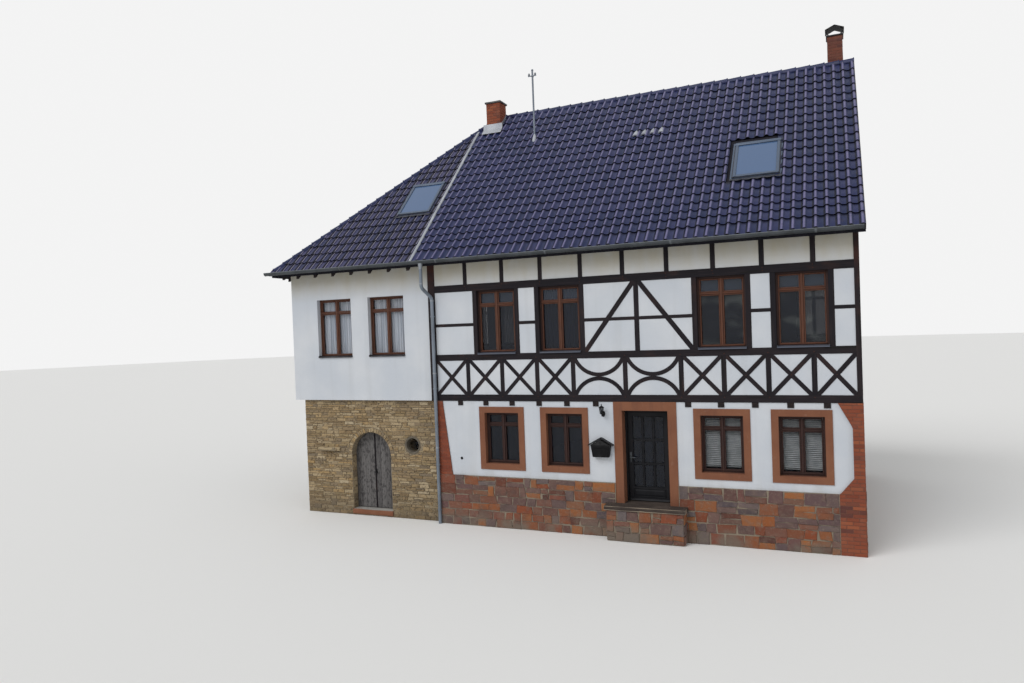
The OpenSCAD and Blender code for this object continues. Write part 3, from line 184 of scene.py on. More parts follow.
class Shape:
    """The faces of one piece as it grows, each point with its tone and its place along the grain."""

    def __init__(self, place=Matrix()):
        self.place, self.points, self.faces, self.tones, self.grain = place, [], [], [], []

    def add(self, points, faces, tone=0.5, grain=None):
        start = len(self.points)
        self.points += [self.place @ Vector(p) for p in points]
        self.faces += [[start + i for i in face] for face in faces]
        self.tones += [tone] * len(points)
        self.grain += grain or [(p[0], p[1], p[2]) for p in points]

    def rings(self, rings, tone=0.5, grain=None, closed=True, ends=True):
        """Faces between rings of points that follow each other."""
        n = len(rings[0])
        faces = [(r * n + i, r * n + (i + 1) % n, (r + 1) * n + (i + 1) % n, (r + 1) * n + i)
                 for r in range(len(rings) - 1) for i in range(n if closed else n - 1)]
        if ends:
            faces += [tuple(range(n))[::-1], tuple(range((len(rings) - 1) * n, len(rings) * n))]
        self.add([p for ring in rings for p in ring], faces, tone, grain)

    def bar(self, profile, x0, x1, z=0.0, tone=0.5):
        """A moulded bar with one profile of points (out, height) from x0 to x1."""
        self.rings([[(x, z + high, out) for out, high in profile] for x in (x0, x1)], tone)

    def block(self, low, high, tone=0.5, edge=0.0):
        """A block with its outer edges taken off."""
        (x0, y0, z0), (x1, y1, z1), e = low, high, edge
        across = [(x0 + e, y0), (x1 - e, y0), (x1, y0 + e), (x1, y1 - e), (x1 - e, y1), (x0 + e, y1), (x0, y1 - e),
                  (x0, y0 + e)]
        mid = ((x0 + x1) / 2, (y0 + y1) / 2)
        inner = [(x + math.copysign(e, mid[0] - x), y + math.copysign(e, mid[1] - y)) for x, y in across]
        rows = [(inner, z0), (across, z0 + e), (across, z1 - e), (inner, z1)]
        self.rings([[(x, y, z) for x, y in row] for row, z in rows], tone)

    def tube(self, path, radius, sides=12, tone=0.5):
        """A round bar through the points of a path; radius may change from point to point."""
        path = [Vector(p) for p in path]
        radii = radius if isinstance(radius, (list, tuple)) else [radius] * len(path)
        rings, side = [], None
        for i, p in enumerate(path):
            run = (path[min(i + 1, len(path) - 1)] - path[max(i - 1, 0)]).normalized()
            side = side or (Vector((0, 0, 1)) if abs(run.z) < 0.9 else Vector((1, 0, 0)))
            side = (side - run * side.dot(run)).normalized()
            other = run.cross(side)
            rings.append([p + (side * math.cos(a) + other * math.sin(a)) * radii[i]
                          for a in (math.tau * k / sides for k in range(sides))])
        self.rings(rings, tone)

    def make(self, name, surface, body="house", slot=None, smooth=0):
        mesh = bpy.data.meshes.new(name)
        mesh.from_pydata(self.points, [], self.faces)
        mesh.attributes.new("tone", "FLOAT", "POINT").data.foreach_set("value", self.tones)
        mesh.attributes.new("grain", "FLOAT_VECTOR", "POINT").data.foreach_set("vector",
                [c for g in self.grain for c in g])
        mesh.materials.append(surface)
        piece = bpy.data.objects.new(name, mesh)
        bpy.context.scene.collection.objects.link(piece)
        shell = bmesh.new()
        shell.from_mesh(mesh)
        bmesh.ops.recalc_face_normals(shell, faces=shell.faces)
        shell.to_mesh(mesh)
        shell.free()
        if smooth:
            mesh.shade_smooth()
            mesh.set_sharp_from_angle(angle=math.radians(smooth))
        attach(piece, body)
        return piece


def stone(shape, outline, out, tone, rough=0.006, edge=0.012, jag=0.25):
    """A split stone on a wall: ragged outline, worn edge and an uneven face."""
    if len(outline) < 3:
        return
    mid = sum(outline, Vector((0, 0))) / len(outline)
    ragged = []
    for i, p in enumerate(outline):
        q = outline[(i + 1) % len(outline)]
        ragged.append(p)
        parts = int((q - p).length / 0.07)
        for k in range(1, parts + 1):
            m = p.lerp(q, k / (parts + 1))
            ragged.append(m + (mid - m).normalized() * random.uniform(-0.2, 1) * jag * edge)
    rings = []
    for inset, rise in ((0, -0.02), (0.15, 0.45), (1.0, 1.0)):
        ring = []
        for p in ragged:
            toward = mid - p
            q = p + toward.normalized() * min(inset * edge, toward.length * 0.6)
            ring.append((q.x, q.y, out * rise + (random.uniform(-rough, rough) if rise == 1 else 0)))
        rings.append(ring)
    n = len(ragged)
    shape.rings(rings, tone, ends=False)
    shape.add(rings[-1] + [(mid.x, mid.y, out + random.uniform(0, rough))], [(i, (i + 1) % n, n) for i in range(n)],
              tone)


def coursed(shape, x0, x1, z0, z1, high, long, out, joint=0.006, slip=0.009, split=0.35, holes=()):
    """Rough courses of stones between two heights; high, long and out are each a least and a
    most, and holes cut the stones that meet them."""
    jog = lambda: random.uniform(-slip, slip)
    thinnest, narrowest = 0.02, 0.03
    z = z0
    while z < z1 - thinnest:
        rise = min(random.uniform(*high), z1 - z)
        if z1 - z - rise < high[0] * 0.75:
            rise = z1 - z
        x = x0
        while x < x1 - narrowest:
            run = random.uniform(*long)
            if x1 - x - run < long[0] * 0.75:
                run = x1 - x
            parts = ((0, 0.5), (0.5, 1)) if rise > sum(high) / 2 and random.random() < split else ((0, 1),)
            for low, up in parts:
                left, right, foot, top = x + joint, x + run - joint, z + rise * low + joint, z + rise * up - joint
                outline = [Vector((a + jog() * (x0 < x < x1 - run), b + jog() * 0.7))
                           for a, b in ((left, foot), (right, foot), (right, top), (left, top))]
                for hole in holes:
                    outline = hole(outline)
                if len(outline) > 2 and max(p.x for p in outline) - min(p.x for p in outline) > narrowest:
                    stone(shape, outline, random.uniform(*out), random.random(), 0.004, 0.010, 0.5)
            x += run
        z += rise


def rubble(shape, x0, x1, z1=plinth_top):
    """The split stones of the plinth."""
    coursed(shape, x0, x1, 0.0, z1, (0.14, 0.29), (0.17, 0.50), (0.008, 0.022), 0.007, 0.028, 0.4)


def plinth_colours(w):
    stones = w.attribute("tone").ramp(
        (0.0, (0.075, 0.036, 0.030)), (0.14, (0.215, 0.058, 0.024)), (0.28, (0.088, 0.070, 0.078)),
        (0.40, (0.250, 0.082, 0.028)), (0.52, (0.110, 0.058, 0.050)), (0.64, (0.125, 0.104, 0.104)),
        (0.76, (0.165, 0.060, 0.034)), (0.88, (0.290, 0.110, 0.038)), (1.0, (0.070, 0.058, 0.062)))
    coarse, cloud, dirt = w.noise(9, 6), w.noise(3.1, 3), w.noise(26, 5)
    colour = (coarse.step(0.45, 0.68) * 0.35).blend(stones, (0.175, 0.120, 0.092))
    colour = (cloud.step(0.5, 0.75) * 0.45).blend(colour, (0.062, 0.046, 0.043))
    colour = (dirt.step(0.55, 0.75) * 0.35).blend(colour, (0.260, 0.211, 0.161))
    smear = (1 - w.place(2).step(0.10, 0.55)) * w.noise(1.3, 5).step(0.42, 0.60)
    return {"Base Color": (smear * 0.75).blend(colour, (0.155, 0.132, 0.105)), "Roughness": 0.9,
            "Specular IOR Level": 0.3, "Normal": (coarse * 0.6 + dirt * 0.4).bump(0.02, 0.8)}


def mortar_colours(w):
    grit, cloud = w.noise(60, 4), w.noise(2.3, 5)
    colour = cloud.step(0.35, 0.7).blend((0.248, 0.205, 0.155), (0.167, 0.136, 0.112))
    return {"Base Color": (grit.step(0.5, 0.8) * 0.5).blend(colour, (0.118, 0.096, 0.081)), "Roughness": 0.95,
            "Specular IOR Level": 0.3, "Normal": (grit * 0.5 + cloud * 0.5).bump(0.015, 0.7)}


plinth_stone = material("plinth_stone", plinth_colours)
mortar = material("lime_mortar", mortar_colours)
wall_set = 0.02
shape = Shape(front @ shifted(out=wall_set))
rubble(shape, 0.16, door_left - jamb - 0.01)
rubble(shape, door_right + jamb + 0.01, main_len - 0.51)
shape.make("plinth_stones_front", plinth_stone, slot="rubble")
for side, face, left, right in (("gable", gable, 0.262, depth - 0.005), ("back", back, 0.005, main_len - 0.16)):
    shape = Shape(face)
    rubble(shape, left, right)
    shape.make("plinth_stones_" + side, plinth_stone, slot="rubble")
shape = Shape()
for shape.place, left, right in ((gable, 0.255, depth - 0.001), (back, 0.001, main_len - 0.155)):
    shape.block((left, 0.0, -0.02), (right, plinth_top - 0.004, 0.0045), 0.5, 0.003)
shape.make("plinth_joints", mortar, slot="rubble")


def dress(surface, *nodes):
    """Gives CAD nodes their finish."""
    for node in nodes:
        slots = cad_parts[node].data.materials
        slots.clear()
        slots.append(surface)


dress(mortar, "plinth")


# The plastered walls: lime plaster on masonry and between the timbers, brushed with white
# limewash year after year, so it is matt, a little wavy and stained under eaves and sills.
def limewash_colours(w):
    height, cloud, runs = w.place(2), w.noise(0.9, 6), w.noise(3.5, 4, (1.0, 1.0, 0.05))
    grain, trowel = w.noise(240, 2), w.noise(5, 5)
    colour = cloud.step(0.3, 0.75).blend((0.515, 0.548, 0.597), (0.590, 0.612, 0.645))
    colour = (runs.step(0.5, 0.72) * 0.22).blend(colour, (0.43, 0.445, 0.46))
    front_eaves = height.step(5.95, 6.75) * (w.place(1) < -4.5)
    yellow = front_eaves * (w.noise(4.5, 5, (1, 1, 0.35)) * 0.9 + 0.35)
    colour = yellow.blend(colour, (0.47, 0.435, 0.34))
    splash = (1 - height.step(0.9, 1.75)) * runs.step(0.42, 0.7)
    return {"Base Color": (splash * 0.35).blend(colour, (0.42, 0.39, 0.34)), "Roughness": 0.92,
            "Normal": (trowel * 0.7 + grain * 0.12).bump(0.02, 0.5)}


dress(material("limewash", limewash_colours), "ground_wall_left", "ground_wall_right", "ground_gable_wall",
      "ground_back_wall", "ground_cross_wall", "front_infill", "gable_infill", "back_infill", "wing_front_wall",
      "wing_side_wall", "wing_back_wall")


# Bare brickwork at the right corner and the painted brick pier at the left end: bricks of
# normal size in running courses, with grey joints on the corner and faint ones on the pier.
def courses(shape, x0_at, x1_at, z0, z1, long=0.24, joint=0.011, out=0.006, tones=(0, 1)):
    """Courses of bricks between two edges that may slope."""
    high, narrowest, z, row = 0.071, 0.012, z0, 0
    while z < z1 - 0.02:
        top = min(z + high, z1)
        left, right = (x0_at(z), x0_at(top)), (x1_at(z), x1_at(top))
        step = long + joint
        x = min(left) - (step / 2 if row % 2 else 0)
        while x < max(right) - 0.02:
            low, up = ((max(x, left[k]), min(x + long, right[k])) for k in (0, 1))
            if low[1] - low[0] > narrowest and up[1] - up[0] > narrowest:
                wobble = random.uniform(-0.0015, 0.0015)
                outline = [Vector((a, b + wobble)) for a, b in ((low[0], z), (low[1], z), (up[1], top), (up[0], top))]
                stone(shape, outline, out * random.uniform(0.7, 1.3), random.uniform(*tones), 0.0012, 0.006, 0.3)
            x += step
        z += high + joint
        row += 1


def between(points):
    """The place of an edge at a height, from its corners."""
    def at(z):
        for (x0, z0), (x1, z1) in zip(points, points[1:]):
            if z <= z1:
                return x0 + (x1 - x0) * (z - z0) / (z1 - z0)
        return points[-1][0]
    return at


def brick_colours(w):
    fired = w.attribute("tone").ramp(
        (0.0, (0.165, 0.043, 0.024)), (0.3, (0.235, 0.062, 0.030)), (0.6, (0.200, 0.055, 0.030)),
        (0.85, (0.275, 0.082, 0.038)), (1.0, (0.088, 0.034, 0.030)))
    fine, cloud = w.noise(70, 5), w.noise(4, 4)
    colour = (fine.step(0.55, 0.75) * 0.4).blend(fired, (0.110, 0.036, 0.026))
    return {"Base Color": (cloud.step(0.5, 0.8) * 0.3).blend(colour, (0.240, 0.120, 0.085)), "Roughness": 0.9,
            "Specular IOR Level": 0.3, "Normal": fine.bump(0.006, 0.6)}


def red_mortar_colours(w):
    grit = w.noise(80, 4)
    return {"Base Color": grit.step(0.3, 0.8).blend((0.175, 0.078, 0.055), (0.125, 0.052, 0.036)), "Roughness": 0.95,
            "Specular IOR Level": 0.3, "Normal": grit.bump(0.006, 0.5)}


brick = material("brick", brick_colours)
red_mortar = material("red_mortar", red_mortar_colours)
corner_edge = between([(9.845, 0), (9.845, plinth_top), (9.885, 1.33), (10.135, 1.64), (10.135, 2.72),
                       (9.86, sill_z)])
shape = Shape(front @ shifted(out=wall_set))
courses(shape, corner_edge, lambda z: main_len - 0.001, 0.0, sill_z)
shape.place = gable
courses(shape, lambda z: -0.018, lambda z: 0.25, 0.0, sill_z)
shape.make("brick_corner_bricks", brick, slot="brick")
shape = Shape(front @ shifted(out=0.005))
pier_edge = between([(0.55, plinth_top), (0.32, sill_z)])
courses(shape, lambda z: 0.152, pier_edge, plinth_top, sill_z, joint=0.006, out=0.003, tones=(0.0, 0.3))
shape.make("brick_pier_bricks", brick, slot="brick")
dress(red_mortar, "brick_corner_right", "brick_pier_left")


# The sandstone round doors and windows: dressed blocks painted terracotta, with a drafted
# edge and fine tooling that shows through the paint, darker where rain runs off the sills.
def sandstone_colours(w):
    cloud, tooling, wear = w.noise(1.7, 6), w.noise(90, 3, (1, 1, 0.3)), w.noise(14, 5)
    colour = cloud.step(0.3, 0.7).blend((0.168, 0.060, 0.029), (0.204, 0.080, 0.039))
    colour = (wear.step(0.58, 0.78) * 0.4).blend(colour, (0.246, 0.129, 0.084))
    runs = w.noise(6, 5, (1, 1, 0.15)).step(0.52, 0.75)
    return {"Base Color": (runs * 0.35).blend(colour, (0.112, 0.042, 0.025)), "Roughness": 0.85,
            "Normal": (tooling * 0.4 + wear * 0.6).bump(0.008, 0.5)}


sandstone = material("painted_sandstone", sandstone_colours)
dress(sandstone, "window_surrounds", "door_jambs", "door_lintel")


# The front step: one long worn slab with rounded edges on rubble, and the sill behind it.
# The stone is dark and damp, hollowed a little where people tread.
def step_colours(w):
    cloud, grit = w.noise(3, 6), w.noise(50, 4)
    colour = cloud.step(0.35, 0.7).blend((0.034, 0.025, 0.021), (0.066, 0.050, 0.041))
    return {"Base Color": (grit.step(0.55, 0.75) * 0.4).blend(colour, (0.105, 0.090, 0.078)), "Roughness": 0.88,
            "Specular IOR Level": 0.3, "Normal": (cloud * 0.5 + grit * 0.5).bump(0.012, 0.7)}


step_stone = material("step_stone", step_colours)
shape = Shape(front)
low, high = (front.inverted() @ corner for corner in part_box("door_step"))
x0, x1, out, top = low.x - 0.005, high.x + 0.005, max(low.z, high.z) + 0.005, high.y + 0.004
rings = []
for k in range(25):
    x = x0 + (x1 - x0) * k / 24
    worn = 0.003 * math.exp(-((x - (x0 + x1) / 2) / 0.35) ** 2)
    end = 0.012 if k in (0, 24) else 0.0
    ring = []
    for w0, z in ((0.02, top - 0.095), (out - 0.012, top - 0.093), (out - 0.003, top - 0.080), (out, top - 0.02),
                  (out - 0.010, top - 0.005), (out - 0.035, top), (0.02, top)):
        lump = 0.006 * noise.noise(Vector((x * 3, w0 * 4, z * 9)))
        proud = w0 > 0.1
        ring.append((x + math.copysign(end, (x0 + x1) / 2 - x) * proud,
                     z - (worn if z > top - 0.03 else 0) + lump * 0.5, w0 + (lump if proud else 0)))
    rings.append(ring)
shape.rings(rings)
shape.make("step_slab", step_stone, slot="step_stone", smooth=40)
inset, rubble_top = 0.05, top - 0.10
shape = Shape(front @ shifted(out=out - inset))
rubble(shape, x0 + inset, x1 - inset, rubble_top)
for x, at, way in ((x1 - inset, out - inset, 1), (x0 + inset, wall_set, -1)):
    shape.place = front @ shifted(x, out=at) @ Matrix.Rotation(way * math.pi / 2, 4, "Y")
    rubble(shape, 0.0, out - 0.08, rubble_top)
shape.make("step_rubble", plinth_stone, slot="rubble")
dress(step_stone, "door_sill")
dress(mortar, "door_step")


# The timber frame of the upper storey: hewn oak posts, rails and braces, tenoned and pegged,
# the infill let in behind them. The wood is tarred nearly black and worn red at some ends.
sill_top, breast_z, breast_top, head_z, head_top = 3.405, 4.29, 4.45, 6.08, 6.26
short_z, plate_z, plate_top, ridge_z = 5.215, 6.989, 7.119, 11.7794
roof_tan = math.tan(math.radians(44.5))
post, band_post, stud, corner, right_post = 0.112, 0.108, 0.105, 0.205, 0.105
brace, long_brace, timber_d = 0.092, 0.110, 0.12
upper_windows, upper_win_w = [s * main_len for s in (0.1884, 0.3541, 0.7266, 0.89)], 1.06
band = [s * main_len for s in (0.1071, 0.2007, 0.2931, 0.3843, 0.5097, 0.6367, 0.7286, 0.8204, 0.9103)]
studs = [1.11 + i * 1.043 for i in range(9)]


def beam(shape, path, wide, lift=0.0, deep=timber_d, tone=None, slack=0.003, edge=0.006):
    """A hewn timber along a path on the wall, with its edges taken off and a slightly uneven line."""
    path = [Vector(p) for p in path]
    if len(path) == 2:
        parts = max(2, int((path[1] - path[0]).length / 0.3))
        path = [path[0].lerp(path[1], k / parts) for k in range(parts + 1)]
    seed = Vector((random.uniform(0, 90), random.uniform(0, 90), 0))
    rings, grain, gone = [], [], 0.0
    for i, p in enumerate(path):
        run = (path[min(i + 1, len(path) - 1)] - path[max(i - 1, 0)]).normalized()
        side = Vector((-run.y, run.x))
        gone += (p - path[i - 1]).length if i else 0
        reach = [wide / 2 + slack * (1 + noise.noise(Vector((gone * 2.2, s * 7, 0)) + seed)) / 2 for s in (-1, 1)]
        sunk = 0.0015 * noise.noise(Vector((gone * 3, 9, 0)) + seed)
        ring = []
        for s, o in ((-1, -deep), (-1, lift - edge), (-1 + 2 * edge / wide, lift + sunk), (0, lift + sunk * 0.3),
                     (1 - 2 * edge / wide, lift - sunk), (1, lift - edge), (1, -deep)):
            q = p + side * (s * reach[0 if s < 0 else 1])
            ring.append((q.x, q.y, o))
            grain.append((gone + seed.x, s * wide / 2 + seed.y, o))
        rings.append(ring)
    shape.rings(rings, random.uniform(0, 0.6) if tone is None else tone, grain)


def peg(shape, x, z, lift=0.0):
    """The end of an oak peg that stands a little out of a joint."""
    turn, radius = random.uniform(0, 1), 0.011
    ring = [(radius * math.cos(turn + k * math.tau / 8),
             radius * math.sin(turn + k * math.tau / 8)) for k in range(8)]
    shape.rings([[(x + a * r, z + b * r, lift + rise) for a, b in ring] for r,
                 rise in ((1, -0.01), (1, 0.005), (0.7, 0.008))],
                random.uniform(0.84, 1.0), [(90 + x, z, 0)] * 24)


def arcs(shape, x0, x1, z0, z1):
    """Two curved braces that meet at half height."""
    half, rise = (x1 - x0) / 2, (z1 - z0) / 2 - brace / 2
    r = (half * half + rise * rise) / (2 * rise)
    reach = math.asin(min(1, (half + 0.03) / r))
    for side in (-1, 1):
        centre = Vector((x0 + half, (z0 + z1) / 2 + side * (r + brace / 2)))
        path = [centre + Vector((math.sin(a),
                                 -side * math.cos(a))) * r for a in (reach * (k / 12 - 1) for k in range(25))]
        beam(shape, path, brace, -0.002 - 0.001 * side)


def long_wall(shape, flip, braced):
    """The frame of a long wall; flip turns house lengths into lengths on this face."""
    put = lambda path, *rest, **more: beam(shape, [(main_len - x if flip else x, z) for x, z in path], *rest, **more)
    upright = lambda x, z0, z1, wide, *rest, **more: put([(x, z0), (x, z1)], wide, *rest, **more)
    for low, high in ((sill_z, sill_top), (breast_z, breast_top), (head_z, head_top), (plate_z, plate_top)):
        for x0, x1 in ((0, 3.1), (3.1, 7.05), (7.05, main_len)):
            put([(x0, (low + high) / 2), (x1, (low + high) / 2)], high - low, 0.0, slack=0.002)
    for x, wide in ((corner / 2, corner), (main_len - right_post / 2, right_post)):
        upright(x, sill_top, plate_z, wide, 0.001, tone=0.74)
    for x in band:
        upright(x, sill_top, breast_z, band_post, -0.001)
    for x in studs:
        upright(x, head_top, plate_z, stud, -0.001)
    for x in upper_windows:
        for side in (-1, 1):
            upright(x + side * (upper_win_w + post) / 2, breast_top, head_z, post, -0.001)
    sides = [x + side * (upper_win_w / 2 + post) for x in upper_windows for side in (-1, 1)]
    ends = [corner, *sides, main_len - right_post]
    for x0, x1 in zip(ends[::2], ends[1::2]):
        at = short_z + (0.06 if x0 > 7 else 0)
        put([(x0, at), (x1, at)], 0.076, -0.004)
    if braced:
        middle = sum(upper_windows[1:3]) / 2
        upright(middle, breast_top, head_z, post, -0.001)
        for side, foot in ((-1, sides[3]), (1, sides[4])):
            put([(foot, breast_top), (middle + side * post / 2, head_z)], long_brace, -0.0025)
        edges = [corner - band_post / 2] + band + [main_len - right_post + band_post / 2]
        for i, (a, b) in enumerate(zip(edges, edges[1:])):
            x0, x1 = a + band_post / 2, b - band_post / 2
            if i in (4, 5):
                arcs(shape, x0, x1, sill_top, breast_z)
            else:
                put([(x0, sill_top), (x1, breast_z)], brace, -0.0025)
                put([(x0, breast_z), (x1, sill_top)], brace, -0.0040)
                peg(shape, (x0 + x1) / 2, (sill_top + breast_z) / 2, -0.0025)
    for places, heights in ((studs, (head_top - 0.05, head_top - 0.12)), (band, (breast_z + 0.05, sill_top - 0.05))):
        for x in places:
            for z in heights:
                peg(shape, (main_len - x if flip else x) + random.uniform(-0.02, 0.02), z)


def timber_colours(w):
    grain, tone = w.attribute("grain", 1), w.attribute("tone")
    fibre, checks, worn = (w.noise(*more, grain) for more in ((30, 6, (0.05, 1, 1)), (9, 4, (0.10, 1.4, 1)),
            (2.2, 5, (0.5, 1, 1))))
    colour = tone.step(0.0, 0.6).blend((0.0100, 0.0085, 0.0115), (0.0165, 0.0125, 0.0150))
    colour = (fibre.step(0.48, 0.72) * 0.5).blend(colour, (0.033, 0.024, 0.025))
    colour = (worn.step(0.56, 0.72) * 0.4).blend(colour, (0.052, 0.024, 0.018))
    colour = (checks.step(0.60, 0.66) * 0.85).blend(colour, (0.008, 0.007, 0.007))
    bare = (tone > 0.7) * (tone < 0.8) * w.place(2).step(5.9, 6.7) * w.noise(2.5, 4).step(0.3, 0.6)
    colour = (bare * 0.7).blend(colour, (0.085, 0.026, 0.014))
    return {"Base Color": ((tone > 0.82) * 0.8).blend(colour, (0.080, 0.030, 0.018)), "Roughness": 0.82,
            "Specular IOR Level": 0.2, "Normal": (fibre * 0.5 + (1 - checks.step(0.58, 0.68)) * 0.5).bump(0.004, 0.7)}


timber = material("tarred_oak", timber_colours)
shape = Shape(front)
long_wall(shape, False, True)
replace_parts(shape.make("front_timbers", timber, slot="dark_timber"), "front_frame")
shape = Shape(back)
long_wall(shape, True, False)
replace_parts(shape.make("back_timbers", timber, slot="dark_timber"), "back_frame")

shape = Shape(gable)
middle, gable_windows, gable_in, collar_z, collar = depth / 2, (depth * 0.3, depth * 0.7), 0.12, 8.54, 0.16
under = lambda y: ridge_z - 0.1402 - abs(y - middle) * roof_tan
for low, high in ((sill_z, sill_top), (breast_z, breast_top), (head_z, head_top)):
    beam(shape, [(gable_in, (low + high) / 2), (depth - gable_in, (low + high) / 2)], high - low, 0.0)
reach = (under(middle) - collar_z - collar / 2) / roof_tan
beam(shape, [(middle - reach, collar_z), (middle + reach, collar_z)], collar, -0.001)
for y in [w + s * (upper_win_w + post) / 2 for w in gable_windows for s in (-1, 1)] + [middle]:
    for low, high in ((sill_top, breast_z), (breast_top, head_z)):
        beam(shape, [(y, low), (y, high)], post, -0.001)
for y in (middle - 2.086, middle, middle + 2.086):
    beam(shape, [(y, head_top), (y, min(under(y) - 0.2, collar_z - collar / 2))], post, -0.001)
beam(shape, [(middle, collar_z + collar / 2), (middle, under(middle) - 0.25)], post, -0.001)
for side in (-1, 1):
    foot, top = middle + side * (middle - gable_in), gable_windows[0 if side < 0 else 1] + side * upper_win_w / 2
    beam(shape, [(foot, breast_top + 0.02), (top + side * 0.06, head_z)], long_brace, -0.0025)
    down = Vector((side, -roof_tan)).normalized()
    start = Vector((middle, under(middle) - 0.114)) - down * 0.06
    beam(shape, [start, start + down * 6.18], collar, 0.001, edge=0.004)
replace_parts(shape.make("gable_timbers", timber, slot="dark_timber"), "gable_frame")


# Joists, rafter tails and floors: sawn wood, tarred black where the weather reaches it, and
# scrubbed boards inside on the upper floors, with lime concrete on the ground and in the cellar.
def sawn_colours(w):
    fibre, worn = w.noise(40, 5, (1, 0.08, 1)), w.noise(5, 4)
    colour = fibre.step(0.4, 0.7).blend((0.012, 0.009, 0.010), (0.028, 0.020, 0.018))
    return {"Base Color": (worn.step(0.6, 0.75) * 0.5).blend(colour, (0.06, 0.028, 0.02)), "Roughness": 0.85,
            "Specular IOR Level": 0.2, "Normal": fibre.bump(0.003, 0.6)}


def board_colours(w):
    boards, gap = w.place(1) * 6.25, 0.035
    board, fibre = w.maths("FRACT", boards), w.noise(24, 6, (0.06, 1, 1))
    shade = w.node("TexWhiteNoise", {"noise_dimensions": "1D"}, {"W": w.maths("FLOOR", boards)})
    colour = shade.blend((0.24, 0.155, 0.085), (0.33, 0.225, 0.13))
    colour = (fibre.step(0.5, 0.7) * 0.4).blend(colour, (0.16, 0.095, 0.05))
    return {"Base Color": (board < gap).blend(colour, (0.03, 0.02, 0.015)), "Roughness": 0.7,
            "Normal": (fibre * 0.3 + (board > gap)).bump(0.003, 0.5)}


def concrete_colours(w):
    cloud, grit = w.noise(1.3, 6), w.noise(60, 4)
    colour = cloud.step(0.3, 0.7).blend((0.30, 0.29, 0.27), (0.40, 0.38, 0.35))
    return {"Base Color": (grit.step(0.5, 0.8) * 0.3).blend(colour, (0.22, 0.21, 0.20)), "Roughness": 0.9,
            "Normal": grit.bump(0.003, 0.4)}


dress(material("tarred_softwood", sawn_colours), "floor_joists", "rafter_tails")
dress(material("floor_boards", board_colours), "upper_floor", "attic_floor")
dress(material("lime_concrete", concrete_colours), "ground_floor", "cellar_floor")


# The cellar walls under the wing: thin beds of ochre and grey quarry stone laid in rough
# courses, a ring of thin stones on edge over the arch, and dressed stones in the reveals.
random.seed(23)
arch, spring, arch_r, cellar_sill = -2.08, 1.695, 0.64, 0.175
eye, eye_r = Vector((-0.725, 2.01)), 0.245
stone_left, stone_in = -4.29, 0.13
centre_of = lambda outline: sum(outline, Vector((0, 0))) / len(outline)


def trim(outline, at, away):
    """The part of an outline on the near side of a line."""
    kept = []
    for i, p in enumerate(outline):
        q = outline[i - 1]
        here, before = (p - at).dot(away), (q - at).dot(away)
        if (here < 0) != (before < 0):
            kept.append(q + (p - q) * (before / (before - here)))
        if here <= 0:
            kept.append(p)
    return kept


def round_hole(centre, radius, above=-1):
    """Cuts stones that lie above a height back to a circle."""
    def cut(outline):
        if len(outline) < 3 or centre_of(outline).y <= above:
            return outline
        away = centre_of(outline) - centre
        if away.length < radius * 0.8:
            return []
        away.normalize()
        return trim(outline, centre + away * radius, -away)
    return cut


def door_hole(outline):
    """Cuts stones back to the sides of the cellar door."""
    if len(outline) < 3 or min(p.y for p in outline) > spring or max(p.y for p in outline) < cellar_sill + 0.02:
        return outline
    x = centre_of(outline).x
    side = 1 if x > arch else -1
    if abs(x - arch) < arch_r * 0.85:
        return []
    return trim(outline, Vector((arch + side * (arch_r + 0.012), 0)), Vector((-side, 0)))


def cellar_colours(w):
    stones = w.attribute("tone").ramp(
        (0.0, (0.305, 0.228, 0.125)), (0.18, (0.200, 0.138, 0.072)), (0.36, (0.375, 0.292, 0.180)),
        (0.52, (0.270, 0.190, 0.100)), (0.66, (0.190, 0.150, 0.104)), (0.82, (0.335, 0.225, 0.105)),
        (1.0, (0.410, 0.335, 0.225)))
    coarse, cloud, dirt = w.noise(16, 6), w.noise(1.1, 4), w.noise(45, 5)
    colour = (coarse.step(0.52, 0.68) * 0.8).blend(stones, (0.085, 0.058, 0.032))
    colour = (cloud.step(0.5, 0.75) * 0.3).blend(colour, (0.175, 0.150, 0.115))
    colour = (dirt.step(0.56, 0.76) * 0.5).blend(colour, (0.385, 0.330, 0.240))
    damp = (1 - w.place(2).step(0.1, 0.9)) * 0.5
    return {"Base Color": damp.blend(colour, (0.085, 0.070, 0.052)), "Roughness": 0.95, "Specular IOR Level": 0.3,
            "Normal": (coarse * 0.6 + dirt * 0.4).bump(0.02, 0.9)}


def cellar_joint_colours(w):
    grit, cloud = w.noise(50, 5), w.noise(2, 4)
    colour = cloud.step(0.3, 0.7).blend((0.290, 0.235, 0.160), (0.205, 0.165, 0.110))
    return {"Base Color": (grit.step(0.45, 0.65) * 0.8).blend(colour, (0.070, 0.052, 0.033)), "Roughness": 0.95,
            "Specular IOR Level": 0.3, "Normal": grit.bump(0.012, 0.7)}


cellar_stone = material("cellar_stone", cellar_colours)
shape = Shape(front @ shifted(out=-stone_in))
thin_beds = ((0.045, 0.115), (0.12, 0.42), (0.003, 0.022))
arch_hole = round_hole(Vector((arch, spring)), arch_r + 0.135, spring)
coursed(shape, stone_left, 0.15, 0.0, sill_z, *thin_beds,
        holes=(door_hole, arch_hole, round_hole(eye, eye_r + 0.012)))
turn = 0.0
while turn < math.pi - 0.02:
    wide = min(random.uniform(0.070, 0.15), math.pi - turn)
    reach = arch_r + random.uniform(0.10, 0.14)
    near, end = arch_r + 0.006, turn + wide
    outline = [Vector((arch + r * math.cos(a), spring + r * math.sin(a)))
               for r, a in ((near, turn + 0.008), (reach, turn + 0.007), (reach, end - 0.007), (near, end - 0.008))]
    stone(shape, outline, random.uniform(0.008, 0.018), random.random(), 0.003, 0.008, 0.4)
    turn += wide
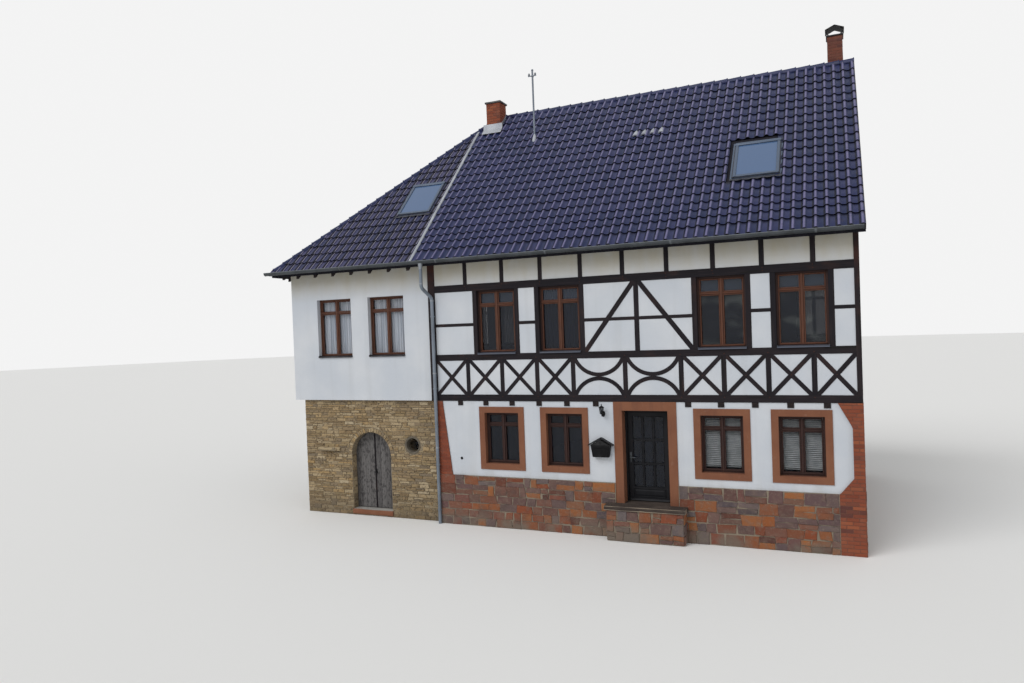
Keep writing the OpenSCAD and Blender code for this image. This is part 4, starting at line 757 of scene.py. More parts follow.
for side in (-1, 1):
    z = cellar_sill
    near, far = sorted((-side * 0.135, -side * 0.325))
    shape.place = front @ shifted(arch + side * arch_r) @ Matrix.Rotation(-side * math.pi / 2, 4, "Y")
    while z < spring - 0.02:
        high = min(random.uniform(0.09, 0.2), spring - z)
        x0, x1, z0, z1 = near + 0.005, far - 0.005, z + 0.006, z + high - 0.006
        outline = [Vector(p) for p in ((x0, z0), (x1, z0), (x1, z1), (x0, z1))]
        stone(shape, outline, 0.005, random.random() * 0.5 + 0.2, 0.002, 0.008, 0.3)
        z += high
shape.make("cellar_stones_front", cellar_stone, slot="cellar_stone")
for name, place, left, right in (("side", wing_end @ shifted(out=-0.26), stone_in, depth - stone_in),
                                 ("back", back @ shifted(out=-stone_in), main_len - 0.15, main_len - stone_left)):
    shape = Shape(place)
    coursed(shape, left, right, 0.0, sill_z, *thin_beds)
    shape.make("cellar_stones_" + name, cellar_stone, slot="cellar_stone")
dress(material("cellar_joints", cellar_joint_colours), "stone_wall_left", "stone_wall_right", "stone_wall_over_arch",
      "stone_side_wall", "stone_back_wall")


# The roof covering: glazed clay pantiles hung in rows on battens, each row lapped over the one
# below. Those of the timber house are deep blue, with one tall roll on each. Those of the wing
# are browner, with two low rolls. The rows lie closer together over the kicked eave.
random.seed(37)
eave_z, eave_out, eave_y, roof_left, roof_right, apex_x = 6.915, 0.35, 4.95, -4.9, 10.48, 0.226
slope, hip_slope = math.radians(44.5), math.radians(43.5)
slope_len = eave_y / math.cos(slope)
hip_len = (apex_x - roof_left) / math.cos(hip_slope)
up_slope = lambda y: (y + eave_out) / math.cos(slope)


def slope_face(origin, across, tilt, inward):
    """The face of a roof plane: along the eave, up the slope, and out of the roof."""
    u = Vector(across)
    s = Vector(inward) * math.cos(tilt) + Vector((0, 0, math.sin(tilt)))
    face = Matrix((u, s, u.cross(s))).transposed().to_4x4()
    face.translation = origin
    return face


front_slope = slope_face((house_left, -eave_y, eave_z), (1, 0, 0), slope, (0, 1, 0))
back_slope = slope_face((house_left, eave_y, eave_z), (-1, 0, 0), slope, (0, -1, 0))
hip_face = slope_face((house_left + roof_left, 0, eave_z), (0, -1, 0), hip_slope, (1, 0, 0))
roll = [(0.0, 0.34), (0.07, 0.14), (0.18, 0.02), (0.34, 0.0), (0.50, 0.10), (0.60, 0.48),
        (0.68, 0.86), (0.76, 1.0), (0.85, 0.90), (0.93, 0.62), (1.0, 0.36)]
double_roll = [(0.0, 0.30), (0.07, 0.06), (0.20, 0.0), (0.34, 0.06), (0.42, 0.62), (0.49, 0.70),
               (0.56, 0.30), (0.64, 0.02), (0.80, 0.06), (0.89, 0.92), (0.95, 0.96), (1.0, 0.40)]
main_rows = [-0.02, 0.40, 0.72, 1.00, 1.30, 1.64, 1.98, 2.33, 2.69, 3.05, 3.41, 3.78, 4.15, 4.53, 4.91, 5.29, 5.67,
             6.06, 6.45]
wing_rows = [-0.045 + 0.356 * i for i in range(20)]


def tiles(shape, x0, x1, length, wide, rows, wave, high, spare=()):
    """Rows of pantiles on a plane; spare lists places (x0, x1, s0, s1) that stay free."""
    columns = round((x1 - x0) / wide)
    wide = (x1 - x0) / columns
    rows = [s for s in rows if s < length - 0.06] + [length]
    for foot, top in zip(rows, rows[1:]):
        for c in range(columns):
            x = x0 + c * wide
            if any(a < x + wide / 2 < b and e < (foot + top) / 2 < f for a, b, e, f in spare):
                continue
            up, skew, slip = random.uniform(0, 0.004), random.uniform(-0.005, 0.005), random.uniform(-0.004, 0.004)
            reach = min(top - foot + 0.03, length - foot)
            lifts = ((0.0, 0.006), (0.0, 0.030), (0.008, 0.034), (0.5 * reach, 0.020), (reach, 0.004))
            rings = [[(x + t * wide, foot + slip + at + skew * (t - 0.5), high * h + lift + up) for t, h in wave]
                     for at, lift in lifts]
            tone, side = random.random(), [ring[-1] for ring in rings]
            shape.rings(rings, tone, [(h, k / 4, t) for k in (-4, 0, 1, 2, 4) for t, h in wave], closed=False,
                        ends=False)
            shape.add(side + [(a, s, out - 0.016) for a, s, out in side],
                      [(k, k + 1, k + 6, k + 5) for k in range(4)],
                      tone, [(0, 0, tone)] * 10)


def cut_shape(shape, at, away):
    """Cuts off what lies on the far side of a plane."""
    shell = bmesh.new()
    layers = shell.verts.layers.float.new("tone"), shell.verts.layers.float_vector.new("grain")
    verts = []
    for p, tone, grain in zip(shape.points, shape.tones, shape.grain):
        v = shell.verts.new(p)
        v[layers[0]], v[layers[1]] = tone, grain
        verts.append(v)
    for face in shape.faces:
        shell.faces.new([verts[i] for i in face])
    everything = shell.verts[:] + shell.edges[:] + shell.faces[:]
    bmesh.ops.bisect_plane(shell, geom=everything, plane_co=at, plane_no=away, clear_outer=True)
    shell.verts.index_update()
    shape.points = [v.co.copy() for v in shell.verts]
    shape.tones, shape.grain = ([v[layer] for v in shell.verts] for layer in layers)
    shape.grain = [tuple(g) for g in shape.grain]
    shape.faces = [[v.index for v in f.verts] for f in shell.faces]
    shell.free()


def tile_colours(first, second, painted_crest_highlight, moss_tint):
    def draw(w):
        high, along, across = (w.node("SeparateXYZ", {}, {0: w.attribute("grain", 1)}, k) for k in range(3))
        cloud, fine, moss = w.noise(0.8, 5), w.noise(35, 4), w.noise(4, 6)
        colour = w.attribute("tone").step(0.1, 0.9).blend(first, second)
        colour = (cloud.step(0.42, 0.7) * 0.4).blend(colour, second)
        # Painted highlight: the top of each roll is lightened towards the crest colour, as if it caught the light.
        colour = (high.step(0.70, 1.0) * (0.35 + fine * 0.8)).blend(colour, painted_crest_highlight)
        # Painted shadow: a near black stripe in the trough just beside each roll, where the roll casts its shade.
        painted_roll_shadow = across.step(0.40, 0.52) * (1 - high.step(0.45, 0.75)) * (1 - across.step(0.75, 0.8))
        colour = (painted_roll_shadow * 0.9).blend(colour, (0.0030, 0.0035, 0.0080))
        colour = (moss.step(0.58, 0.75) * 0.35).blend(colour, moss_tint)
        # Painted shade: the upper part of each tile, where the next row laps over it, is darkened nearly to black.
        colour = (along.step(0.66, 0.92) * 0.75).blend(colour, (0.004, 0.004, 0.008))
        # Painted shade: the edge at the foot of each tile, which faces down the slope, is near black.
        return {"Base Color": (along < -0.02).blend(colour, (0.003, 0.003, 0.005)), "Roughness": fine * 0.2 + 0.30,
                "Specular IOR Level": 0.16, "Coat Weight": 0.06, "Coat Roughness": 0.2, "Normal": fine.bump(0.002,
                        0.3)}
    return draw


# The third colour of each tile is the painted highlight on the roll crests.
main_tile = material("glazed_main_tile", tile_colours(
    (0.016, 0.024, 0.072), (0.027, 0.033, 0.095), (0.195, 0.180, 0.320), (0.035, 0.030, 0.050)))
wing_tile = material("glazed_wing_tile", tile_colours(
    (0.030, 0.036, 0.090), (0.056, 0.056, 0.125), (0.380, 0.350, 0.440), (0.060, 0.050, 0.070)))
sky_windows, sky_s, left_stack_s = (-1.035, 8.24), up_slope(1.680), up_slope(4.06)
sky_spare = [(x - 0.59, x + 0.56, sky_s - 0.86, sky_s + 0.80) for x in sky_windows]
stack_spare = (0.0, 0.5, left_stack_s - 0.1, 9)
back_spare = (-10.25, -9.83, slope_len - 0.82, slope_len - 0.2)
house_part, wing_part = (0.222, main_rows, roll, 0.052), (0.241, wing_rows, double_roll, 0.034)
hip_run = apex_x - roof_left
for name, tile, place, sides, area in (
        ("main_tiles_front", main_tile, front_slope, (-1,),
         (-0.225, roof_right, slope_len, *house_part, sky_spare + [stack_spare])),
        ("wing_tiles_front", wing_tile, front_slope, (-1,), (roof_left, -0.325, slope_len, *wing_part, sky_spare)),
        ("main_tiles_back", main_tile, back_slope, (1,), (-roof_right, 0.275, slope_len, *house_part, [back_spare])),
        ("wing_tiles_back", wing_tile, back_slope, (1,), (0.275, -roof_left, slope_len, *wing_part)),
        ("wing_tiles_hip", wing_tile, hip_face, (-1, 1), (-eave_y, eave_y, hip_len, *wing_part))):
    shape = Shape(place)
    tiles(shape, *area)
    for side in sides:
        away = Vector((eave_y, side * hip_run, 0)) * (1 if place is hip_face else -1)
        cut_shape(shape, Vector((house_left + roof_left, side * eave_y, 0)), away)
    shape.make(name, tile, slot="roof_tile", smooth=50)


def deck_colours(w):
    fibre = w.noise(20, 5, (1, 0.1, 0.1))
    return {"Base Color": fibre.step(0.35, 0.7).blend((0.009, 0.009, 0.014), (0.018, 0.017, 0.024)), "Roughness": 0.9,
            "Specular IOR Level": 0.2, "Normal": fibre.bump(0.004, 0.4)}


dress(material("roof_boarding", deck_colours), "roof_front", "roof_back", "roof_hip")


# Ridge and hip tiles: half round clay caps, each tapered and lapped over the next one.
def caps(shape, start, end, radius, step):
    """A line of lapped half round tiles from start to end."""
    run = end - start
    count = max(1, round(run.length / step))
    side = run.normalized().cross(Vector((0, 0, 1))).normalized()
    up = side.cross(run.normalized())
    for i in range(count):
        a, b = start + run * (i / count), start + run * (min(i + 1.12, count) / count)
        tone, tilt = random.random(), random.uniform(-0.03, 0.03)
        rings = []
        for at, more, rise in ((0.0, -0.004, 0.0), (0.0, 0.014, 0.004), (0.05, 0.015, 0.004), (0.09, 0.004, 0.002),
                               (1.0, -0.008, -0.004)):
            p, r = a.lerp(b, at), radius + more
            rings.append([p + side * (r * math.cos(t)) + up * (r * math.sin(t) + rise)
                          for t in (math.pi * (k / 12 * 1.16 - 0.08) + tilt for k in range(13))])
        grain = [(0.35 + 0.3 * math.sin(math.pi * k / 12), 0.5, 0.1) for _ in rings for k in range(13)]
        shape.rings(rings, tone, grain, closed=False, ends=False)


shape = Shape()
ridge_axis, apex = ridge_z - 0.030, house_left + apex_x
caps(shape, Vector((house_left + roof_right + 0.01, 0, ridge_axis)), Vector((apex - 0.1, 0, ridge_axis)), 0.100, 0.36)
for side in (-1, 1):
    foot = Vector((house_left + roof_left + 0.06, side * 4.89, eave_z + 0.03))
    caps(shape, foot, foot.lerp(Vector((apex, 0, ridge_z - 0.01)), 0.985), 0.090, 0.34)
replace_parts(shape.make("ridge_and_hip_tiles", main_tile, slot="roof_tile", smooth=50), "ridge_caps")


# The verge boards of the gable, one under the tiles of each slope. They stand in front of the
# wall, on the ends of the roof battens.
def verge_colours(w):
    fibre = w.noise(26, 6, (1, 0.08, 0.08))
    colour = fibre.step(0.4, 0.7).blend((0.030, 0.022, 0.021), (0.062, 0.044, 0.038))
    return {"Base Color": (w.noise(3, 4).step(0.5, 0.75) * 0.5).blend(colour, (0.10, 0.055, 0.038)), "Roughness": 0.8,
            "Normal": fibre.bump(0.004, 0.6)}


shape = Shape(gable @ shifted(out=0.138))
for side in (-1, 1):
    down = Vector((side * math.cos(slope), -math.sin(slope)))
    start = Vector((depth / 2, ridge_z - 0.045)) - down * 0.05
    beam(shape, [start, start + down * (slope_len + 0.03)], 0.150, 0.0, deep=0.022, tone=0.3, edge=0.003)
shape.make("verge_boards", material("verge_board", verge_colours), slot="dark_timber")


# Half round zinc gutters hang under the eaves in flat steel brackets, with a rolled front
# edge, soldered ends, and a lap where two lengths meet.
def zinc_colours(w):
    cloud, fine, runs = w.noise(1.6, 6), w.noise(40, 4), w.noise(6, 5, (1, 1, 0.12))
    colour = cloud.step(0.35, 0.7).blend((0.045, 0.052, 0.058), (0.075, 0.084, 0.094))
    colour = (runs.step(0.5, 0.72) * 0.5).blend(colour, (0.032, 0.036, 0.036))
    colour = ((w.attribute("tone") > 0.75) * 0.75).blend(colour, (0.14, 0.155, 0.17))
    return {"Base Color": colour, "Roughness": fine * 0.2 + 0.42, "Metallic": 0.35,
            "Normal": (fine * 0.5 + cloud * 0.5).bump(0.003, 0.3)}


def gutter_fittings(shape, x0, x1):
    """The rolled edge, brackets, laps and ends of a gutter, on a wall's face."""
    mid_out, mid_z, r = eave_out + 0.080, 6.910, 0.080
    arc = [math.pi + math.pi * k / 12 for k in range(13)]
    spot = lambda x, q, a: (x, mid_z + q * math.sin(a), mid_out + q * math.cos(a))

    def band(at, wide, thick, tone):
        low, high = r + 0.0005, r + thick
        corners = [(at + s * wide / 2, q) for s, q in ((-1, low), (1, low), (1, high), (-1, high))]
        shape.rings([[spot(x, q, a) for x, q in corners] for a in arc], tone)

    shape.tube([(x, mid_z, mid_out + r) for x in (x0, x1)], 0.009, 10, 0.9)
    count = round((x1 - x0) / 0.74)
    for i in range(count):
        band(x0 + (i + 0.5) * (x1 - x0) / count, 0.028, 0.005, 0.2)
    for i in range(1, int((x1 - x0) / 3) + 1):
        band(x0 + i * 3.0 - 0.4, 0.045, 0.0025, 0.9)
    for at, way in ((x0, -1), (x1, 1)):
        shape.rings([[spot(at + way * t, r + 0.003, a) for a in arc] for t in (0, 0.004)], 0.4)


zinc = material("weathered_zinc", zinc_colours)
dress(zinc, "gutters")
shape = Shape()
gutter_left, gutter_right, past = -5.06, 10.45, 0.345
for shape.place, x0, x1 in ((front, gutter_left, gutter_right),
                            (back, main_len - gutter_right, main_len - gutter_left),
                            (wing_end, -past, depth + past)):
    gutter_fittings(shape, x0, x1)
shape.make("gutter_fittings", zinc, slot="zinc", smooth=40)


# The zinc downpipe: an outlet cone, a swan neck back to the wall, and lengths pushed into
# each other with a collar, held by clips on long screws.
def rounded(points, reach):
    """A path through points with its corners rounded."""
    points = [Vector(p) for p in points]
    path = [points[0]]
    for a, b, c in zip(points, points[1:], points[2:]):
        start, end = b + (a - b).normalized() * reach, b + (c - b).normalized() * reach
        path += [start.lerp(b, t).lerp(b.lerp(end, t), t) for t in (k / 7 for k in range(8))]
    return path + [points[-1]]


def pipe_colours(w):
    cloud, fine, runs = w.noise(1.4, 6), w.noise(40, 4), w.noise(7, 5, (1, 1, 0.1))
    colour = cloud.step(0.35, 0.7).blend((0.150, 0.176, 0.212), (0.205, 0.238, 0.285))
    colour = (runs.step(0.5, 0.72) * 0.5).blend(colour, (0.115, 0.118, 0.118))
    colour = ((w.attribute("tone") > 0.75) * 0.6).blend(colour, (0.32, 0.34, 0.36))
    return {"Base Color": colour, "Roughness": fine * 0.2 + 0.4, "Metallic": 0.4, "Normal": cloud.bump(0.003, 0.3)}


shape = Shape(front)
(top_x, top_out), (foot_x, foot_out) = (0.06, 0.43), (0.155, 0.07)
bends = [(top_x, 6.80, top_out), (top_x, 6.22, top_out), (foot_x, 5.95, foot_out), (foot_x, 0.004, foot_out)]
shape.tube(rounded(bends, 0.085), 0.0445, 24, 0.4)
shape.tube([(top_x, z, top_out) for z in (6.845, 6.835, 6.74, 6.70)], [0.062, 0.062, 0.048, 0.047], 24, 0.9)
for z in (6.30, 5.86, 3.95, 1.98):
    x, out = (top_x, top_out) if z > 6 else (foot_x, foot_out)
    shape.tube([(x, z + more, out) for more in (0, 0.006, 0.034, 0.040)], [0.0455, 0.0485, 0.0485, 0.0455], 24, 0.9)
for z in (5.45, 3.55, 1.55, 0.35):
    shape.tube([(foot_x, z, foot_out), (foot_x, z + 0.026, foot_out)], 0.0475, 24, 0.1)
    shape.tube([(foot_x, z + 0.013, 0.03), (foot_x, z + 0.013, -0.012)], 0.006, 8, 0.1)
    for x in (foot_x - 0.052, foot_x + 0.052):
        shape.block((x - 0.008, z, 0.058), (x + 0.008, z + 0.026, 0.080), 0.1, 0.002)
galvanised = material("pipe_zinc", pipe_colours)
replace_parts(shape.make("downpipe_lengths", galvanised, slot="zinc", smooth=40), "downpipe")


# Two roof windows: a dark clad frame in a soft metal flashing, and a pale sash that turns in
# it, with a hood along its top and a pleated apron on the tiles below.
def clad_colours(w):
    fine, cloud = w.noise(50, 3), w.noise(3, 4)
    colour = (w.attribute("tone") > 0.5).blend((0.014, 0.016, 0.028), (0.070, 0.098, 0.150))
    return {"Base Color": (cloud.step(0.4, 0.75) * 0.2).blend(colour, (0.09, 0.11, 0.14)),
            "Roughness": fine * 0.2 + 0.32,
            "Metallic": 0.3, "Normal": fine.bump(0.001, 0.2)}


def frame_ring(shape, x0, x1, y0, y1, wide, low, high, tone, edge=0.004):
    """Four bars round an opening; those across it lie a little deeper."""
    for a, b in ((x0, x0 + wide), (x1 - wide, x1)):
        shape.block((a, y0, low), (b, y1, high), tone, edge)
    for a, b in ((y0, y0 + wide), (y1 - wide, y1)):
        shape.block((x0 + wide, a, low), (x1 - wide, b, high - 0.002), tone, edge)


shape = Shape(front_slope)
for x in sky_windows:
    x0, x1, s0, s1 = x - 0.54, x + 0.54, sky_s - 0.72, sky_s + 0.72
    frame_ring(shape, x0, x1, s0, s1, 0.055, -0.10, 0.052, 0.1)
    frame_ring(shape, x0 - 0.045, x1 + 0.045, s0 - 0.04, s1 + 0.05, 0.050, 0.0, 0.028, 0.55, 0.006)
    frame_ring(shape, x0 + 0.022, x1 - 0.022, s0 + 0.022, s1 - 0.03, 0.062, 0.030, 0.066, 0.9)
    frame_ring(shape, x0 + 0.078, x1 - 0.078, s0 + 0.078, s1 - 0.086, 0.014, 0.030, 0.058, 0.6, 0.002)
    shape.block((x0 + 0.004, s1 - 0.10, 0.045), (x1 - 0.004, s1 - 0.004, 0.082), 0.85, 0.012)
    pleats, left, wide = 40, x0 - 0.045, x1 - x0 + 0.09
    fold = [(left + wide * i / pleats, 0.010 * math.sin(i * math.tau / 8)) for i in range(pleats + 1)]
    rows = [[(a, s0 - 0.03 - t * 0.11, 0.034 + t * (0.026 + rise)) for a, rise in fold] for t in (0, 0.3, 0.6, 0.9,
            1.0)]
    shape.rings(rows, 0.2, closed=False, ends=False)
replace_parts(shape.make("roof_windows", material("clad_frame", clad_colours), slot="skylight_metal", smooth=35),
            "skylights")


# Two chimney stacks of facing bricks: one with a concrete slab on it, the other under a bent
# metal hood on four legs.
def stack_bricks(shape, x0, x1, y0, y1, z1, rows, tones=(0, 1)):
    """Courses of bricks on the four sides of a stack."""
    z0 = z1 - rows * 0.082 + 0.011
    for face, out, a, b in ((front, -y0, x0, x1), (gable, x1 - main_len, y0, y1),
                            (back, y1 - depth, main_len - x1, main_len - x0),
                            (wing_end, wing_left - house_left - x0, depth - y1, depth - y0)):
        shape.place = face @ shifted(out=out)
        courses(shape, lambda z: a, lambda z: b, z0, z1, long=0.225, out=0.005, tones=tones)


def cap_colours(w):
    soot, grit, hooded = w.noise(2.5, 6), w.noise(40, 4), w.attribute("tone") > 0.5
    slab = soot.step(0.35, 0.7).blend((0.045, 0.043, 0.044), (0.090, 0.086, 0.084))
    hood = soot.step(0.4, 0.7).blend((0.018, 0.017, 0.019), (0.040, 0.036, 0.036))
    return {"Base Color": hooded.blend(slab, hood), "Roughness": grit * 0.2 + 0.6, "Metallic": hooded * 0.3,
            "Normal": grit.bump(0.004, 0.5)}


shape = Shape()
stack_bricks(shape, 0.02, 0.48, 4.06, 4.52, 12.121, 13)
stack_bricks(shape, 9.855, 10.225, 4.78, 5.15, 12.580, 18, (0.93, 1.0))
shape.make("chimney_bricks", brick, slot="brick")
dress(red_mortar, "chimney_stacks")
house = Matrix.Translation((house_left, front_y, 0))
shape = Shape(house)
frame_ring(shape, -0.020, 0.520, 4.020, 4.560, 0.160, 12.121, 12.176, 0.2, 0.010)
frame_ring(shape, 9.823, 10.257, 4.748, 5.182, 0.100, 12.580, 12.618, 0.9, 0.006)
for x in (9.860, 10.190):
    for y in (4.785, 5.115):
        shape.block((x, y, 12.615), (x + 0.030, y + 0.030, 12.790), 0.9, 0.002)
bent = [(-0.235, 12.744), (-0.235, 12.770), (-0.020, 12.862), (0.0, 12.866), (0.020, 12.862), (0.235, 12.770),
        (0.235, 12.744)]
bent += [(x * 0.97, z - 0.007) for x, z in bent[::-1]]
shape.rings([[(10.040 + x, y, z) for x, z in bent] for y in (4.732, 4.965, 5.198)], 0.9)
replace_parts(shape.make("stack_covers", material("chimney_cover", cap_colours), slot="cap_metal"), "chimney_caps")


# Metal on the roof: the raised seam where the two tile coverings meet, the zinc round the
# left stack and at the mast's foot, and four pale hooded vent tiles high on the slope.
def pale_zinc_colours(w):
    cloud, fine = w.noise(2.2, 6), w.noise(50, 4)
    colour = cloud.step(0.35, 0.7).blend((0.27, 0.285, 0.32), (0.40, 0.42, 0.455))
    return {"Base Color": (fine.step(0.55, 0.8) * 0.35).blend(colour, (0.20, 0.20, 0.21)), "Roughness": 0.5,
            "Metallic": 0.25,
            "Normal": fine.bump(0.002, 0.3)}


shape = Shape(front_slope)
seam_x, half = -0.275, [(0.012, 0.062), (0.038, 0.052), (0.050, 0.030), (0.050, 0.0)]
seam = [(-a, n) for a, n in half[::-1]] + half
shape.rings([[(seam_x + a + 0.003 * math.sin(s * 2.1), s, n + 0.002 * math.sin(s * 7)) for a, n in seam]
             for s in [-0.03 + k * 0.25 for k in range(24)] + [5.96, 6.20]])
for i in range(6):
    s = 0.6 + i * 0.95
    shape.rings([[(seam_x + a * 1.04, s + d, n * 1.04 + 0.001) for a, n in seam] for d in (0, 0.012)])
hood = ((0.066, 0.036, 4.60), (0.084, 0.076, 4.60), (0.082, 0.074, 4.64), (0.060, 0.048, 4.80), (0.020, 0.020, 4.90))
for x in (4.995 + i * 0.234 for i in range(4)):
    shape.rings([[(x + wide * math.cos(a), s,
                   0.030 + high * math.sin(a)) for a in (math.pi * k / 10 for k in range(11))]
                 for wide, high, s in hood], closed=False, ends=False)
apron = ((-0.24, 0.082), (-0.22, 0.088), (-0.02, 0.086), (-0.005, 0.10), (0.10, 0.20))
shape.rings([[(x, left_stack_s + more, n) for x in (-0.07, -0.05, 0.10, 0.25, 0.40, 0.55, 0.57)] for more,
             n in apron],
            closed=False, ends=False)
shape.place = house
roof_z = lambda y: eave_z + (y + eave_out) * math.tan(slope)
for x0, x1 in ((0.014, 0.023), (0.478, 0.487)):
    for a, b in ((4.04 + 0.08 * k, 4.12 + 0.08 * k) for k in range(6)):
        shape.block((x0, a, roof_z(a) - 0.05), (x1, b + 0.004, roof_z(b) + 0.11), 0.5, 0.002)
shape.block((0.006, 4.046, roof_z(4.05) - 0.02), (0.494, 4.056, roof_z(4.05) + 0.17), 0.5, 0.003)
mast_x, mast_y = 1.85, 3.44
shape.tube([(mast_x, mast_y, roof_z(mast_y) + more) for more in (-0.09, 0.02, 0.13, 0.15)],
           [0.110, 0.075, 0.036, 0.030], 24)
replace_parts(shape.make("roof_zinc", material("pale_zinc", pale_zinc_colours), slot="zinc", smooth=40),
            "roof_metalwork")


# The mast on the roof: a galvanised tube with a cap, and a cross arm bolted to it that
# carries two ribbed insulators.
shape = Shape(house)
cap = ((10.60, 0.027), (12.66, 0.027), (12.664, 0.034), (12.69, 0.034), (12.705, 0.024), (12.710, 0.004))
shape.tube([(mast_x, mast_y, z) for z, r in cap], [r for z, r in cap], 20, 0.4)
shape.block((mast_x - 0.13, mast_y - 0.040, 12.494), (mast_x + 0.13, mast_y - 0.016, 12.518), 0.3, 0.003)
shape.block((mast_x - 0.034, mast_y - 0.032, 12.480), (mast_x + 0.034, mast_y + 0.032, 12.530), 0.9, 0.005)
ribs = [(12.518, 0.008), (12.524, 0.030), (12.536, 0.034), (12.542, 0.022), (12.550, 0.030), (12.560, 0.031),
        (12.566, 0.018),
        (12.574, 0.024), (12.586, 0.020), (12.592, 0.008)]
for x in (mast_x - 0.096, mast_x + 0.096):
    shape.tube([(x, mast_y - 0.028, z) for z, r in ribs], [r for z, r in ribs], 16, 0.95)
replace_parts(shape.make("mast_and_arm", galvanised, slot="zinc", smooth=40), "aerial_mast")


# The windows: an oiled wooden frame with a middle post and a cross bar, and four casements
# in it, each with its own rails. Those above are orange brown, those below dark red brown.
low_size = 0.94, 1.635, 2.94
high_size, wing_size = (upper_win_w, breast_top, head_z), (1.15, breast_top, head_z)
wins_below = [(front, s * main_len, *low_size, -0.130) for s in (0.1937, 0.3565, 0.7198, 0.8821)]
wins_above = [(front, x, *high_size, -0.095) for x in upper_windows]
wins_wing = [(front, x, *wing_size, -0.170) for x in (-3.080, -1.366)]
for group in (wins_below, wins_above, wins_wing):
    group += [(back, main_len - x, *rest) for face, x, *rest in group]
wins_below += [(gable, y, *low_size, -0.130) for y in gable_windows]
wins_above += [(gable, y, *high_size, -0.095) for y in gable_windows]
wins_wing += [(wing_end, y, *wing_size, -0.130) for y in gable_windows]


def window_wood_colours(w):
    fibre, worn, tone = w.noise(34, 5, (1, 1, 0.12)), w.noise(6, 4), w.attribute("tone")
    wood = (tone > 0.5).blend((0.034, 0.013, 0.010), (0.098, 0.036, 0.019))
    veins = (tone > 0.5).blend((0.014, 0.007, 0.006), (0.045, 0.018, 0.012))
    colour = (fibre.step(0.42, 0.7) * 0.6).blend(wood, veins)
    return {"Base Color": (worn.step(0.6, 0.8) * 0.3).blend(colour, (0.13, 0.055, 0.03)), "Roughness": 0.6,
            "Specular IOR Level": 0.3, "Normal": fibre.bump(0.002, 0.4)}


def window_frame(shape, x, wide, z0, z1, face, tone, rim=0.2):
    """Frame, post, bar and four casements of one window; face is how far out it stands."""
    bar, gap, back_at, cross = 0.044, 0.003, face - 0.064, z0 + (z1 - z0) * 0.765
    x0, x1 = x - wide / 2, x + wide / 2
    frame_ring(shape, x0, x1, z0, z1, bar, back_at, face, rim)
    shape.block((x - 0.025, z0 + bar, back_at), (x + 0.025, z1 - bar, face + 0.006), tone, 0.006)
    for a, b in ((x0 + bar, x - 0.025), (x + 0.025, x1 - bar)):
        shape.block((a, cross - 0.017, back_at), (b, cross + 0.017, face + 0.003), tone, 0.005)
        for low, high in ((z0 + bar, cross - 0.017), (cross + 0.017, z1 - bar)):
            frame_ring(shape, a + gap, b - gap, low + gap, high - gap, 0.030, face - 0.062, face - 0.012, tone, 0.006)
    shape.block((x0 + 0.046, z0 + 0.040, face - 0.02), (x1 - 0.046, z0 + 0.062, face + 0.016), tone, 0.006)


window_wood = material("window_wood", window_wood_colours)
shape = Shape()
for shape.place, x, wide, z0, z1, out in wins_below:
    window_frame(shape, x, wide, z0, z1, out, 0.2)
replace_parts(shape.make("ground_casements", window_wood, slot="window_wood"), "ground_window_frames")
shape = Shape()
for shape.place, x, wide, z0, z1, out in wins_above + wins_wing:
    # The outer frames of the timber house's upper windows take the dark tone: partly their own dark brown, partly
    # painted shade where they sit back in the wall. The wing's keep the orange brown.
    window_frame(shape, x, wide, z0 + 0.014, z1, out, 0.8, 0.8 if wide > upper_win_w else 0.2)
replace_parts(shape.make("upper_casements", window_wood, slot="window_wood"), "upper_window_frames")


# Folded metal sills under the upper windows: blue grey on the timber walls, black on the
# wing, sloped outward, with a turned down nose and upstands at the ends.
def sill_colours(w):
    cloud = w.noise(5, 5)
    colour = (w.attribute("tone") > 0.5).blend((0.018, 0.018, 0.022), (0.075, 0.085, 0.115))
    return {"Base Color": (cloud.step(0.45, 0.75) * 0.35).blend(colour, (0.10, 0.10, 0.11)), "Roughness": 0.5,
            "Metallic": 0.2, "Normal": cloud.bump(0.002, 0.3)}


shape = Shape()
for group, tone, wall_out in ((wins_above, 0.8, 0.0), (wins_wing, 0.2, -0.040)):
    for shape.place, x, wide, z0, z1, out in group:
        nose = 0.030 + (0.0 if shape.place is wing_end else wall_out)
        profile = [(out - 0.005, 0.0), (out - 0.005, 0.034), (out, 0.034), (out + 0.004, 0.030), (nose, 0.016),
                   (nose + 0.006, 0.012), (nose + 0.006, -0.012), (nose + 0.002, -0.012), (nose, 0.0)]
        shape.bar(profile, x - wide / 2 + 0.001, x + wide / 2 - 0.001, z0, tone)
        for edge in (x - wide / 2 + 0.005, x + wide / 2 - 0.005):
            shape.block((edge - 0.004, z0 + 0.004, out), (edge + 0.004, z0 + 0.044, nose), tone, 0.002)
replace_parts(shape.make("metal_sills", material("sill_metal", sill_colours), slot="sill_metal"), "window_sills")


